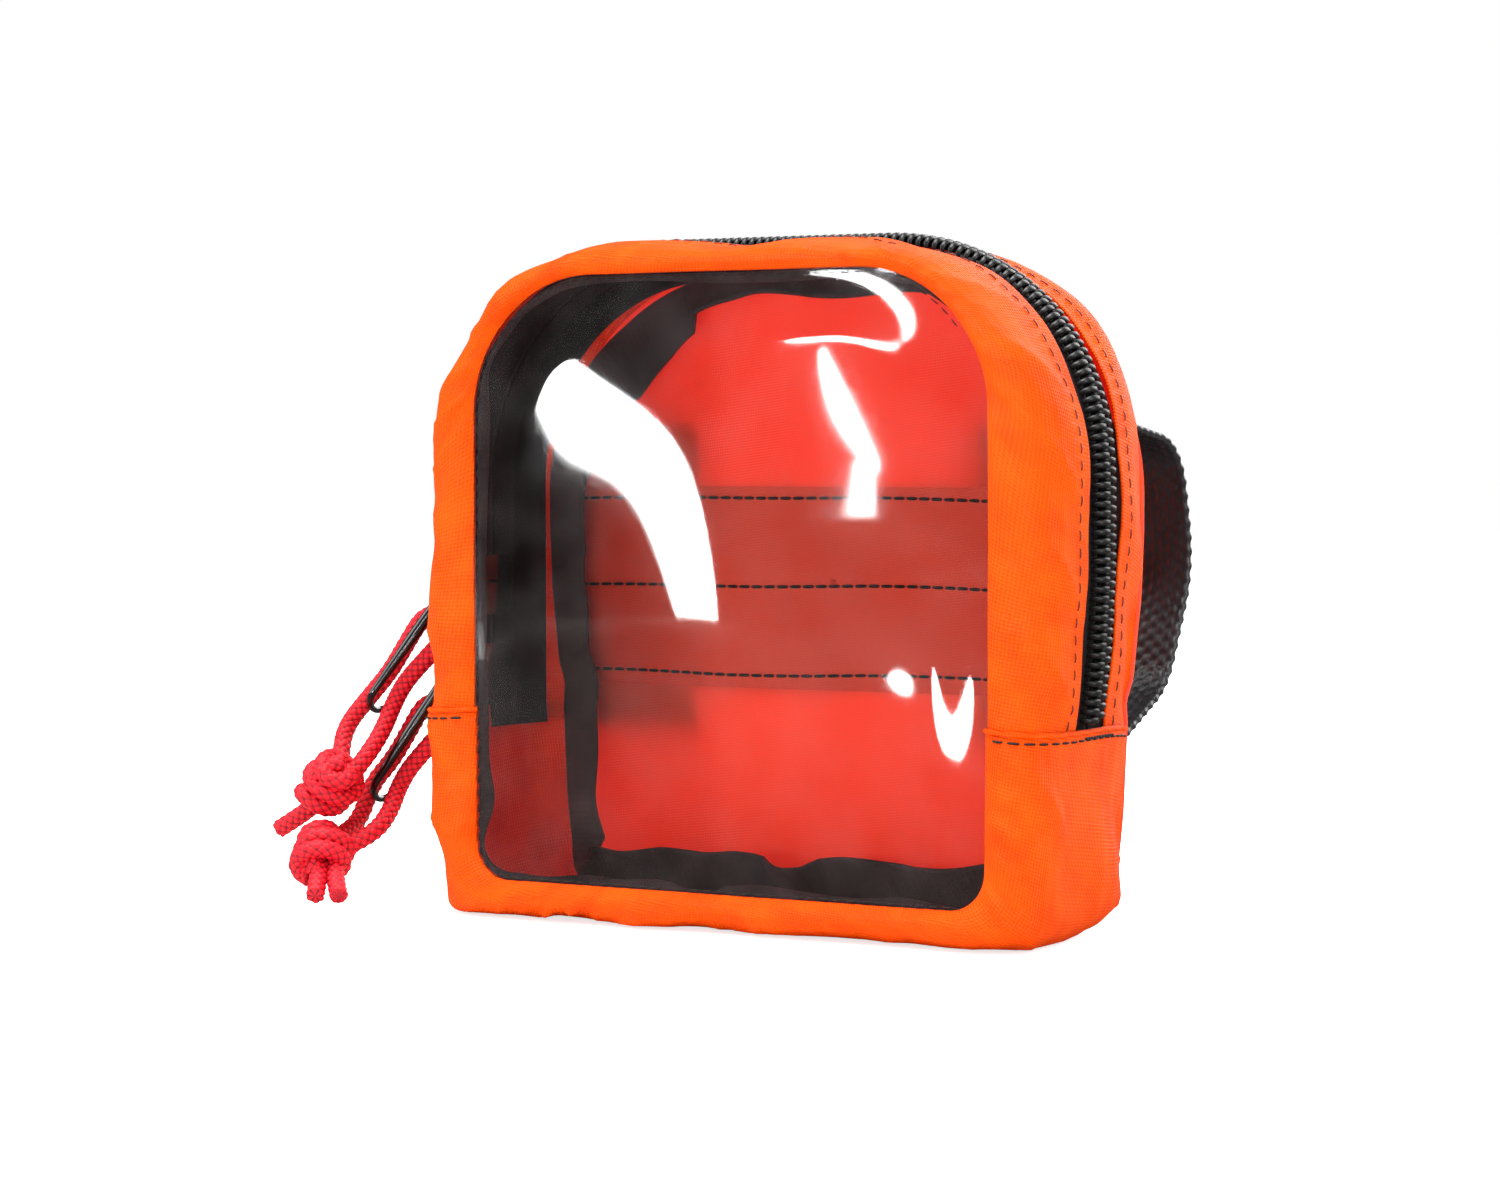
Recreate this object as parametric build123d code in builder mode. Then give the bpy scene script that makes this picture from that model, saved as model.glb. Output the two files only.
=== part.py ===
"""Small soft first aid kit: a zipped cloth bag with a clear window, two sliders with cord pulls
and two webbing belt loops. Millimetres. X is the width, the front faces -Y, +Z is up, and the
origin is the middle of the base, so the bag stands on z = 0."""

import os
from math import cos, radians, sin, tan

from build123d import *

# Bag outline. The sides stand upright from just below the hem to the top corners.
HALF_WIDTH = 64.0
BASE_HALF_WIDTH = 61.0
BAG_HEIGHT = 120.0
TOP_CORNER_RADIUS = 40.0
BASE_CORNER_RADIUS = 7.0
FRONT_Y = -21.5
BACK_Y = 20.5
FRONT_EDGE_RADIUS = 5.0
# The back seam is a little smaller than the bag's middle.
BACK_HALF_WIDTH = 60.5
BACK_BASE_HALF_WIDTH = 56.5
BACK_HEIGHT = 117.5
TAPER_START_Y = 12.5
CLOTH = 0.8
HEM_Z = 37.0
FLARE_TOP_Z = 36.0
FLARE_RADIUS = 20.0
SPLIT_GAP = 0.3

# Clear window and the tape that binds its seam allowance.
WINDOW_HALF_WIDTH = 51.5
WINDOW_BASE_Z = 6.5
WINDOW_TOP_Z = 114.5
WINDOW_TOP_RADIUS = 25.0
WINDOW_BASE_RADIUS = 7.0
WINDOW_SEAM = 3.0
FILM = 0.5
FRONT_BINDING_WIDTH = 3.5
FRONT_BINDING = 1.2
FRONT_BINDING_EDGE = 2.0

# Back panel trim.
BACK_BINDING_WIDTH = 8.0
BACK_BINDING = 1.4
BACK_BINDING_EDGE = 1.2
BAND_LOW_Z = 40.0
BAND_HIGH_Z = 77.0
BAND_MARGIN = 1.0

# Belt loops: webbing bent into a D that stands off the back.
WEBBING_WIDTH = 25.0
WEBBING = 1.5
LOOP_MIDDLE_X = 41.5
LOOP_LOW_Z = 29.5
LOOP_HIGH_Z = 90.0
# Three bends of the D: how far each stands off the back, and its height.
LOOP_TOP_OUT = 31.0
LOOP_TOP_Z = 85.5
LOOP_BELLY_OUT = 37.1
LOOP_BELLY_Z = 62.2
LOOP_HEEL_OUT = 25.6
LOOP_HEEL_Z = 40.4
LOOP_ROOT_RADIUS = 2.5
LOOP_TOP_RADIUS = 13.0
LOOP_BELLY_RADIUS = 22.0
LOOP_HEEL_RADIUS = 16.0

# Zipper. The chain is centred on ZIP_Y, and heights are measured outwards from the tape's face.
ZIP_Y = 1.0
ZIP_HALF_OPENING = 6.5
CHAIN_HALF_WIDTH = 3.0
CHAIN_HALF_GAP = 0.6
COIL = 2.0
TAPE = 0.6
TAPE_HALF_WIDTH = 11.0
TAPE_TAIL = 7.0

# Slider bodies and crowns. The flange grips the back coil only.
SLIDER_LENGTH = 10.8
SLIDER_NOSE_HALF_WIDTH = 4.9
SLIDER_TAIL_HALF_WIDTH = 4.3
SLIDER_PLATE = 1.2
SLIDER_FIT = 0.3
FLANGE = 0.9
FLANGE_FIT = 0.4
SLIDER_CORNER = 1.2
# The shoulder between the slider's nose and tail, in the upper slider measured upwards.
SHOULDER_TAIL = 2.4
SHOULDER_NOSE = 4.9
TAPE_FIT = 0.4
POST_HALF_WIDTH = 0.3
POST_LENGTH = 3.0
POST_SETBACK = 1.0
CROWN_WIDTH = 2.6
CROWN_STRIP = 1.1
CROWN_LENGTH = 7.5
CROWN_RISE = 6.3
CROWN_CORNER = 2.5
SLIDER_SPACING = 16.2

# Pull tabs: cast frames that hang from a bar inside the crown, thick at the top and thin below.
PULL_BAR_RADIUS = 0.9
PULL_BAR_FIT = 0.3
PULL_BAR_LIFT = 2.6
PULL_LENGTH = 27.0
PULL_HALF_WIDTH = 4.75
PULL_RAIL = 1.8
PULL_THICK = 2.2
PULL_THIN = 1.2
PULL_LEAN = 12.0
# A rounded end stops this far short of a full half circle.
PULL_ROUND_CLEAR = 0.1
UPPER_PULL_ANGLE = 35.0
LOWER_PULL_ANGLE = 33.0

# Pull cords. Each route runs from one cut end through the knot, up the outside of the pull,
# through the frame, down its inside and through the knot again to the other cut end. A point's
# first number is how far it lies outside the bag's left side; the knots are placed the same way.
CORD_DIAMETER = 3.4
CORD_ARC_SHARE = 0.45
UPPER_CORD_ROUTE = [
    (36.1, -14.5, 12.7),
    (30.4, -14.0, 15.9),
    (25.6, -13.0, 20.2),
    (25.4, -9.5, 25.7),
    (27.6, -5.5, 31.4),
    (23.3, -2.9, 37.6),
    (19.4, -2.0, 42.1),
    (16.5, -0.9, 47.3),
    (13.5, 0.2, 52.4),
    (10.7, 0.3, 52.9),
    (8.4, 0.0, 51.3),
    (7.9, -0.6, 48.6),
    (11.7, -1.5, 44.6),
    (15.5, -2.3, 40.6),
    (17.6, -3.1, 36.7),
    (18.4, -6.0, 31.0),
    (19.3, -10.5, 26.1),
    (21.8, -14.0, 21.4),
    (28.3, -10.0, 18.1),
    (33.6, -4.5, 16.3),
]
LOWER_CORD_ROUTE = [
    (17.6, -28.0, 2.6),
    (19.7, -24.0, 5.5),
    (23.3, -18.8, 10.0),
    (23.6, -12.0, 11.9),
    (24.0, -5.6, 14.0),
    (22.9, -3.2, 20.9),
    (18.9, -2.1, 25.5),
    (16.1, -0.9, 30.7),
    (13.3, 0.2, 36.0),
    (10.6, 0.3, 36.5),
    (8.3, 0.0, 35.0),
    (7.7, -0.6, 32.4),
    (11.2, -1.5, 28.2),
    (14.9, -2.4, 24.1),
    (16.9, -3.2, 20.2),
    (16.5, -6.0, 16.5),
    (15.9, -11.5, 12.9),
    (20.4, -17.5, 9.5),
    (17.4, -22.5, 5.5),
    (13.7, -26.0, 2.6),
]
KNOT_RADIUS = 5.2
KNOT_LENGTH = 11.5
KNOT_ROUND = 4.4
UPPER_KNOT_MIDDLE = (23.9, -14.6, 20.6)
UPPER_KNOT_AXIS = (-0.80, 0.0, -0.60)
LOWER_KNOT_MIDDLE = (22.2, -19.2, 8.5)
LOWER_KNOT_AXIS = (0.25, -0.75, -0.60)

# Values worked out from the ones above.
TAPE_FACE_X = HALF_WIDTH - CLOTH
FLAP_LOW_Z = HEM_Z + SPLIT_GAP
FILM_FRONT_Y = FRONT_Y + CLOTH
TOP_PLATE_LOW = COIL + SLIDER_FIT
TOP_PLATE_HIGH = TOP_PLATE_LOW + SLIDER_PLATE
BOTTOM_PLATE_HIGH = -TAPE - TAPE_FIT
CROWN_TOP = TOP_PLATE_HIGH + CROWN_RISE
PULL_BAR_HEIGHT = CROWN_TOP - CROWN_STRIP - PULL_BAR_FIT - PULL_BAR_RADIUS
LOWER_SLIDER_Z = FLAP_LOW_Z
UPPER_SLIDER_Z = LOWER_SLIDER_Z + SLIDER_SPACING
# Half the size of a box that takes in the whole object.
ALL = 300.0

os.makedirs("parts", exist_ok=True)


def save(part, name):
    """Label a finished piece and write it."""
    part.label = name
    export_step(part, f"parts/{name}.step")


def at_depth(y):
    """Upright plane at depth y. Its own x runs along X and its own y along Z."""
    return Plane.XZ.offset(-y)


def bag_face(y, base, middle, height, grow=0.0):
    """The bag's front outline at depth y, grown or shrunk all round."""
    with BuildSketch(at_depth(y)) as face:
        with BuildLine():
            Polyline(
                (-base, 0),
                (base, 0),
                (middle, FLARE_TOP_Z),
                (middle, height),
                (-middle, height),
                (-middle, FLARE_TOP_Z),
                close=True,
            )
        make_face()
        fillet(face.vertices().group_by(Axis.Y)[1], FLARE_RADIUS)
        fillet(face.vertices().group_by(Axis.Y)[-1], TOP_CORNER_RADIUS)
        fillet(face.vertices().group_by(Axis.Y)[0], BASE_CORNER_RADIUS)
        if grow:
            offset(amount=grow, mode=Mode.REPLACE)
    return face.sketch


def middle_face(y, grow=0.0):
    """Outline of the bag's full-width middle."""
    return bag_face(y, BASE_HALF_WIDTH, HALF_WIDTH, BAG_HEIGHT, grow)


def back_face(y, grow=0.0):
    """Outline of the bag at the back seam."""
    return bag_face(y, BACK_BASE_HALF_WIDTH, BACK_HALF_WIDTH, BACK_HEIGHT, grow)


def bag_solid(inset):
    """The bag as a solid block, shrunk by inset everywhere but at its back face."""
    with BuildPart() as block:
        extrude(middle_face(TAPER_START_Y, -inset), amount=TAPER_START_Y - FRONT_Y - inset)
        front = block.faces().sort_by(Axis.Y)[0]
        fillet(front.edges(), FRONT_EDGE_RADIUS - inset)
    ends = [middle_face(TAPER_START_Y, -inset), back_face(BACK_Y, -inset)]
    with BuildPart() as taper:
        loft([end.faces()[0] for end in ends], ruled=True)
    return block.part + taper.part


def window_face(y, grow=0.0):
    """The window's outline at depth y."""
    with BuildSketch(at_depth(y)) as face:
        with BuildLine():
            Polyline(
                (-WINDOW_HALF_WIDTH, WINDOW_BASE_Z),
                (WINDOW_HALF_WIDTH, WINDOW_BASE_Z),
                (WINDOW_HALF_WIDTH, WINDOW_TOP_Z),
                (-WINDOW_HALF_WIDTH, WINDOW_TOP_Z),
                close=True,
            )
        make_face()
        fillet(face.vertices().group_by(Axis.Y)[-1], WINDOW_TOP_RADIUS)
        fillet(face.vertices().group_by(Axis.Y)[0], WINDOW_BASE_RADIUS)
        if grow:
            offset(amount=grow, mode=Mode.REPLACE)
    return face.sketch


def slab(low_y, high_y, low_z, high_z):
    """A wide block between two depths and two heights, for cutting pieces out of the shell."""
    with BuildPart() as block:
        with Locations((0, (low_y + high_y) / 2, (low_z + high_z) / 2)):
            Box(2 * ALL, high_y - low_y, high_z - low_z)
    return block.part


outer_block = bag_solid(0.0)
inner_block = bag_solid(CLOTH)

# Cloth shell: open at the back, with the window cut out of the front.
with BuildPart() as shell:
    add(outer_block)
    add(inner_block, mode=Mode.SUBTRACT)
    extrude(window_face(FRONT_Y + CLOTH), amount=2 * CLOTH, mode=Mode.SUBTRACT)

with BuildPart() as front_gusset_strip:
    add(shell.part)
    add(slab(FRONT_Y, ZIP_Y - ZIP_HALF_OPENING, FLAP_LOW_Z, ALL), mode=Mode.INTERSECT)

with BuildPart() as back_gusset_strip:
    add(shell.part)
    add(slab(ZIP_Y + ZIP_HALF_OPENING, BACK_Y - CLOTH, FLAP_LOW_Z, ALL), mode=Mode.INTERSECT)

with BuildPart() as lower_gusset:
    add(shell.part)
    add(slab(FRONT_Y, BACK_Y - CLOTH, 0, HEM_Z), mode=Mode.INTERSECT)

with BuildPart() as back_panel:
    extrude(back_face(BACK_Y), amount=CLOTH)

# The band stops just short of the side seams and lies on the outside of the back panel.
with BuildPart() as back_reinforcement_band:
    with BuildSketch(at_depth(BACK_Y + CLOTH)):
        with Locations((0, (BAND_LOW_Z + BAND_HIGH_Z) / 2)):
            Rectangle(2 * (BACK_BASE_HALF_WIDTH - BAND_MARGIN), BAND_HIGH_Z - BAND_LOW_Z)
    extrude(amount=CLOTH)

# Window film, trimmed to the inside of the cloth.
with BuildPart() as film:
    extrude(window_face(FILM_FRONT_Y + FILM, WINDOW_SEAM), amount=FILM)
    add(inner_block, mode=Mode.INTERSECT)

# Binding on the inside of the film, over the seam allowance.
binding_back_y = FILM_FRONT_Y + FILM + FRONT_BINDING
with BuildPart() as front_binding:
    extrude(window_face(binding_back_y, FRONT_BINDING_EDGE), amount=FRONT_BINDING)
    hole = window_face(binding_back_y, -FRONT_BINDING_WIDTH)
    extrude(hole, amount=FRONT_BINDING, mode=Mode.SUBTRACT)
    add(inner_block, mode=Mode.INTERSECT)

for whole, name in ((film, "window_film"), (front_binding, "front_seam_binding")):
    for level, low, high in (("lower", -ALL, HEM_Z), ("upper", FLAP_LOW_Z, ALL)):
        with BuildPart() as half:
            add(whole.part)
            add(slab(-ALL, ALL, low, high), mode=Mode.INTERSECT)
        save(half.part, f"{name}_{level}")

with BuildPart() as back_seam_binding:
    extrude(back_face(BACK_Y - CLOTH, -BACK_BINDING_EDGE), amount=BACK_BINDING)
    hole = back_face(BACK_Y - CLOTH, -BACK_BINDING_EDGE - BACK_BINDING_WIDTH)
    extrude(hole, amount=BACK_BINDING, mode=Mode.SUBTRACT)


def zip_ring(inner_grow, outer_grow, low_y, high_y, low_z):
    """A strip that follows the bag's outline between two depths, cut off below low_z."""
    with BuildPart() as ring:
        extrude(middle_face(high_y, outer_grow), amount=high_y - low_y)
        extrude(middle_face(high_y, inner_grow), amount=high_y - low_y, mode=Mode.SUBTRACT)
        add(slab(-ALL, ALL, low_z, ALL), mode=Mode.INTERSECT)
    return ring.part


front_inner_y = ZIP_Y - CHAIN_HALF_GAP
back_inner_y = ZIP_Y + CHAIN_HALF_GAP
tape_grow = (-CLOTH - TAPE, -CLOTH)
coil_grow = (-CLOTH, COIL - CLOTH)
front_zipper_tape = zip_ring(*tape_grow, ZIP_Y - TAPE_HALF_WIDTH, front_inner_y, FLAP_LOW_Z)
back_zipper_tape = zip_ring(*tape_grow, back_inner_y, ZIP_Y + TAPE_HALF_WIDTH, HEM_Z - TAPE_TAIL)
front_zipper_coil = zip_ring(*coil_grow, ZIP_Y - CHAIN_HALF_WIDTH, front_inner_y, FLAP_LOW_Z)
back_zipper_coil = zip_ring(*coil_grow, back_inner_y, ZIP_Y + CHAIN_HALF_WIDTH, FLAP_LOW_Z)

for piece, name in (
    (front_gusset_strip.part, "front_gusset_strip"),
    (back_gusset_strip.part, "back_gusset_strip"),
    (lower_gusset.part, "lower_gusset"),
    (back_panel.part, "back_panel"),
    (back_reinforcement_band.part, "back_reinforcement_band"),
    (back_seam_binding.part, "back_seam_binding"),
    (front_zipper_tape, "front_zipper_tape"),
    (back_zipper_tape, "back_zipper_tape"),
    (front_zipper_coil, "front_zipper_coil"),
    (back_zipper_coil, "back_zipper_coil"),
):
    save(piece, name)

# Belt loops. The flat side of each D is stitched through the band.
loop_back_y = BACK_Y + CLOTH
loop_side = [
    (loop_back_y, LOOP_LOW_Z),
    (loop_back_y, LOOP_HIGH_Z),
    (loop_back_y + LOOP_TOP_OUT, LOOP_TOP_Z),
    (loop_back_y + LOOP_BELLY_OUT, LOOP_BELLY_Z),
    (loop_back_y + LOOP_HEEL_OUT, LOOP_HEEL_Z),
]
loop_radii = [
    LOOP_ROOT_RADIUS,
    LOOP_ROOT_RADIUS,
    LOOP_TOP_RADIUS,
    LOOP_BELLY_RADIUS,
    LOOP_HEEL_RADIUS,
]
for side, name in ((1, "belt_loop_right"), (-1, "belt_loop_left")):
    with BuildPart() as belt_loop:
        with BuildSketch(Plane.YZ.offset(side * LOOP_MIDDLE_X - WEBBING_WIDTH / 2)):
            with BuildLine():
                FilletPolyline(*loop_side, radius=loop_radii, close=True)
            make_face()
            offset(amount=-WEBBING, mode=Mode.SUBTRACT)
        extrude(amount=WEBBING_WIDTH)
    save(belt_loop.part, name)


def slider_plane(z):
    """Plane on the left tape: own x towards the front, own y up, own z outwards."""
    return Plane(origin=(-TAPE_FACE_X, ZIP_Y, z), x_dir=(0, -1, 0), z_dir=(-1, 0, 0))


def slider_body(low_z, nose_up):
    """Two plates, the post that parts the chain, and the flange that grips the back coil."""
    nose, tail = SLIDER_NOSE_HALF_WIDTH, SLIDER_TAIL_HALF_WIDTH
    low_half, high_half = (tail, nose) if nose_up else (nose, tail)
    post_y = POST_SETBACK + POST_LENGTH / 2
    low_shoulder, high_shoulder = SHOULDER_TAIL, SHOULDER_NOSE
    if nose_up:
        post_y = SLIDER_LENGTH - post_y
        low_shoulder, high_shoulder = SLIDER_LENGTH - high_shoulder, SLIDER_LENGTH - low_shoulder
    plan = [
        (-low_half, 0),
        (low_half, 0),
        (low_half, low_shoulder),
        (high_half, high_shoulder),
        (high_half, SLIDER_LENGTH),
        (-high_half, SLIDER_LENGTH),
        (-high_half, high_shoulder),
        (-low_half, low_shoulder),
    ]
    plane = slider_plane(low_z)
    flange_inner = CHAIN_HALF_WIDTH + FLANGE_FIT
    with BuildPart() as body:
        for plate_low in (BOTTOM_PLATE_HIGH - SLIDER_PLATE, TOP_PLATE_LOW):
            with BuildSketch(plane.offset(plate_low)):
                with BuildLine():
                    Polyline(*plan, close=True)
                make_face()
            extrude(amount=SLIDER_PLATE)
        fillet(body.edges().filter_by(Axis.X), SLIDER_CORNER)
        with BuildSketch(plane.offset(BOTTOM_PLATE_HIGH)):
            with Locations((0, post_y)):
                Rectangle(2 * POST_HALF_WIDTH, POST_LENGTH)
        extrude(amount=TOP_PLATE_LOW - BOTTOM_PLATE_HIGH)
        with BuildSketch(plane.offset(TAPE_FIT)):
            with Locations((-flange_inner - FLANGE / 2, SLIDER_LENGTH / 2)):
                Rectangle(FLANGE, SLIDER_LENGTH - 2 * SLIDER_CORNER)
        extrude(amount=TOP_PLATE_LOW - TAPE_FIT)
    return body.part


def slider_crown(low_z):
    """The bridge on the slider that keeps the pull's bar."""
    high_z = low_z + CROWN_LENGTH
    base_x = -TAPE_FACE_X - TOP_PLATE_HIGH
    top_x = -TAPE_FACE_X - CROWN_TOP
    with BuildPart() as crown:
        with BuildSketch(at_depth(ZIP_Y + CROWN_WIDTH / 2)) as side:
            with BuildLine():
                Polyline(
                    (base_x, low_z), (base_x, high_z), (top_x, high_z), (top_x, low_z), close=True
                )
            make_face()
            fillet(side.vertices().group_by(Axis.X)[0], CROWN_CORNER)
            with BuildLine():
                Polyline(
                    (base_x, low_z + CROWN_STRIP),
                    (base_x, high_z - CROWN_STRIP),
                    (top_x + CROWN_STRIP, high_z - CROWN_STRIP),
                    (top_x + CROWN_STRIP, low_z + CROWN_STRIP),
                    close=True,
                )
            make_face(mode=Mode.SUBTRACT)
        extrude(amount=CROWN_WIDTH)
    return crown.part


def pull_plane(bar_z, angle):
    """Plane of a hanging pull: own x across it, own y down it, own z away from the bag."""
    swing, lean = radians(angle), radians(PULL_LEAN)
    across = (0, cos(lean), -sin(lean))
    outward = (-cos(swing), sin(swing) * sin(lean), sin(swing) * cos(lean))
    origin = (-TAPE_FACE_X - PULL_BAR_HEIGHT, ZIP_Y, bar_z)
    return Plane(origin=origin, x_dir=across, z_dir=outward)


def pull_tab(bar_z, angle):
    """A frame of two rails with a round bar at the top and a rounded end below."""
    plane = pull_plane(bar_z, angle)
    rail_top = PULL_THICK / 2
    opening_half = PULL_HALF_WIDTH - PULL_RAIL
    opening_end = PULL_LENGTH - PULL_THIN
    side_plane = Plane(origin=plane.origin, x_dir=plane.y_dir, z_dir=plane.x_dir)
    with BuildPart() as tab:
        with BuildSketch(plane) as front:
            with Locations((0, (PULL_LENGTH - rail_top) / 2)):
                Rectangle(2 * PULL_HALF_WIDTH, PULL_LENGTH + rail_top)
            fillet(front.vertices().group_by(Axis.Y)[-1], PULL_HALF_WIDTH - PULL_ROUND_CLEAR)
            fillet(front.vertices().group_by(Axis.Y)[0], PULL_BAR_RADIUS)
        extrude(amount=PULL_THICK, both=True)
        with BuildSketch(side_plane):
            with BuildLine():
                Polyline(
                    (-PULL_THICK, -rail_top),
                    (PULL_LENGTH / 3, -rail_top),
                    (PULL_LENGTH + PULL_THIN, -PULL_THIN / 2),
                    (PULL_LENGTH + PULL_THIN, PULL_THIN / 2),
                    (PULL_LENGTH / 3, rail_top),
                    (-PULL_THICK, rail_top),
                    close=True,
                )
            make_face()
        extrude(amount=2 * PULL_HALF_WIDTH, both=True, mode=Mode.INTERSECT)
        with BuildSketch(plane) as opening:
            with Locations((0, (opening_end - PULL_THICK) / 2)):
                Rectangle(2 * opening_half, opening_end + PULL_THICK)
            fillet(opening.vertices().group_by(Axis.Y)[-1], opening_half - PULL_ROUND_CLEAR)
        extrude(amount=2 * PULL_THICK, both=True, mode=Mode.SUBTRACT)
        with BuildSketch(side_plane):
            Circle(PULL_BAR_RADIUS)
        extrude(amount=PULL_HALF_WIDTH - PULL_RAIL / 2, both=True)
    return tab.part


def left_of_bag(point):
    """A cord point, given by its distance outside the bag's left side, as a place."""
    out, y, z = point
    return Vector(-HALF_WIDTH - out, y, z)


def cord_tube(route, name):
    """A round cord along straight runs joined by arcs as large as the runs allow."""
    points = [left_of_bag(point) for point in route]
    radii = []
    for before, here, after in zip(points, points[1:], points[2:]):
        run_in, run_out = here - before, after - here
        half_turn = radians(run_in.get_angle(run_out)) / 2
        radii.append(CORD_ARC_SHARE * min(run_in.length, run_out.length) / tan(half_turn))
    print(name, "arc radii", [round(radius, 1) for radius in radii])
    with BuildPart() as cord:
        with BuildLine() as path:
            FilletPolyline(*points, radius=radii)
        line = path.wires()[0]
        with BuildSketch(Plane(origin=line @ 0, z_dir=line % 0)):
            Circle(CORD_DIAMETER / 2)
        sweep(path=line)
    print(name, "length", round(line.length, 1))
    return cord.part


def knot(middle, axis):
    """Outer shape of the overhand knot tied in the doubled cord: a round-ended barrel."""
    with BuildPart() as barrel:
        with BuildSketch(Plane(origin=left_of_bag(middle), z_dir=axis)):
            Circle(KNOT_RADIUS)
        extrude(amount=KNOT_LENGTH / 2, both=True)
        fillet(barrel.edges().filter_by(GeomType.CIRCLE), KNOT_ROUND)
    return barrel.part


# The sliders meet nose to nose, so the upper one's nose points down and the lower one's up.
for level, low_z, nose_up, angle, route, middle, axis in (
    (
        "upper",
        UPPER_SLIDER_Z,
        False,
        UPPER_PULL_ANGLE,
        UPPER_CORD_ROUTE,
        UPPER_KNOT_MIDDLE,
        UPPER_KNOT_AXIS,
    ),
    (
        "lower",
        LOWER_SLIDER_Z,
        True,
        LOWER_PULL_ANGLE,
        LOWER_CORD_ROUTE,
        LOWER_KNOT_MIDDLE,
        LOWER_KNOT_AXIS,
    ),
):
    save(slider_body(low_z, nose_up), f"{level}_slider_body")
    save(slider_crown(low_z), f"{level}_slider_crown")
    save(pull_tab(low_z + PULL_BAR_LIFT, angle), f"{level}_pull_tab")
    save(cord_tube(route, f"{level}_pull_cord"), f"{level}_pull_cord")
    save(knot(middle, axis), f"{level}_pull_knot")
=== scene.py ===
"""Looks for the first aid kit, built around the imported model. Lengths in the code are millimetres
until mesh() and the cords' curve points turn them into metres; lights and camera are in metres."""

import math

import bpy
import numpy as np
from mathutils import Matrix, Vector


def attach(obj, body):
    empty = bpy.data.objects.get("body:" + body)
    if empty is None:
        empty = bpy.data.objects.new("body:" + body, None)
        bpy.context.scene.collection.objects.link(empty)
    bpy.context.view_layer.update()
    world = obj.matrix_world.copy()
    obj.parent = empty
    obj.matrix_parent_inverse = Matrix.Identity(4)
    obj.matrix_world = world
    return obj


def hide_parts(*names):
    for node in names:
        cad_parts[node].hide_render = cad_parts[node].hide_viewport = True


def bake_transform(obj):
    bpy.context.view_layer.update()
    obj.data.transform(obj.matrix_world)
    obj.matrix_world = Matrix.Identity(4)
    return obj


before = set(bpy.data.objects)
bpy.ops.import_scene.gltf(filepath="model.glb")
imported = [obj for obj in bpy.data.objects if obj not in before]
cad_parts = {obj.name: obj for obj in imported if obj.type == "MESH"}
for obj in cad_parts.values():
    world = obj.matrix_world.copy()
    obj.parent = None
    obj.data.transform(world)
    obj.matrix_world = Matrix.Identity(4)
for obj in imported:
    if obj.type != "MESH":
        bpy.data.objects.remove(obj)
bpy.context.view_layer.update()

# Camera: eye level with the upper part of the bag, to its right, with a long lens.
camera_data = bpy.data.cameras.new("camera")
camera_data.sensor_width = 36.0
camera_data.lens = 90.7
camera = bpy.data.objects.new("camera", camera_data)
bpy.context.scene.collection.objects.link(camera)
turn, dip = math.radians(30.46), math.radians(2.3)
camera.location = (0.3340, -0.5785, 0.0840)
look = Vector((-math.sin(turn) * math.cos(dip), math.cos(turn) * math.cos(dip), -math.sin(dip)))
camera.rotation_mode = "QUATERNION"
camera.rotation_quaternion = look.to_track_quat("-Z", "Y")
bpy.context.scene.camera = camera


# Pull cords: 3.4 mm braided nylon, doubled through each pull's frame and knotted. Each core is one
# NURBS line, and the braid is a mesh that follows it. Dyed nylon is bright red, and the valleys
# between the strands are painted darker as painted shade.
def linear(code):
    """sRGB hex code as linear red, green, blue, alpha."""
    parts = [int(code[i : i + 2], 16) / 255 for i in (0, 2, 4)]
    return [c / 12.92 if c <= 0.04045 else ((c + 0.055) / 1.055) ** 2.4 for c in parts] + [1.0]


def add_node(tree, kind, settings=(), links=()):
    """One shader node: settings are (input or attribute, value), links are (input, output socket)."""
    node = tree.nodes.new(kind)
    for key, value in settings:
        if isinstance(key, str) and hasattr(node, key) and key not in node.inputs:
            setattr(node, key, value)
        else:
            node.inputs[key].default_value = value
    for key, socket in links:
        tree.links.new(socket, node.inputs[key])
    return node


def new_material(name, colour):
    """An empty node material with its output, and its viewport colour set."""
    made = bpy.data.materials.new(name)
    made.use_nodes = True
    made.node_tree.nodes.clear()
    made.diffuse_color = linear(colour)
    return made, made.node_tree, made.node_tree.nodes.new("ShaderNodeOutputMaterial")


def mesh(name, points, faces, uv, material):
    """A smooth mesh object from points in mm, faces, and one uv pair in mm per point."""
    data = bpy.data.meshes.new(name)
    data.from_pydata((np.asarray(points, float) / 1000).tolist(), [], np.asarray(faces).tolist())
    layer = data.uv_layers.new(name="mm")
    corner = np.zeros(len(data.loops), np.int32)
    data.loops.foreach_get("vertex_index", corner)
    layer.data.foreach_set("uv", np.asarray(uv, np.float32)[corner].ravel())
    data.polygons.foreach_set("use_smooth", np.full(len(data.polygons), True))
    data.materials.append(material)
    data.update()
    made = bpy.data.objects.new(name, data)
    bpy.context.scene.collection.objects.link(made)
    return made


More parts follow.
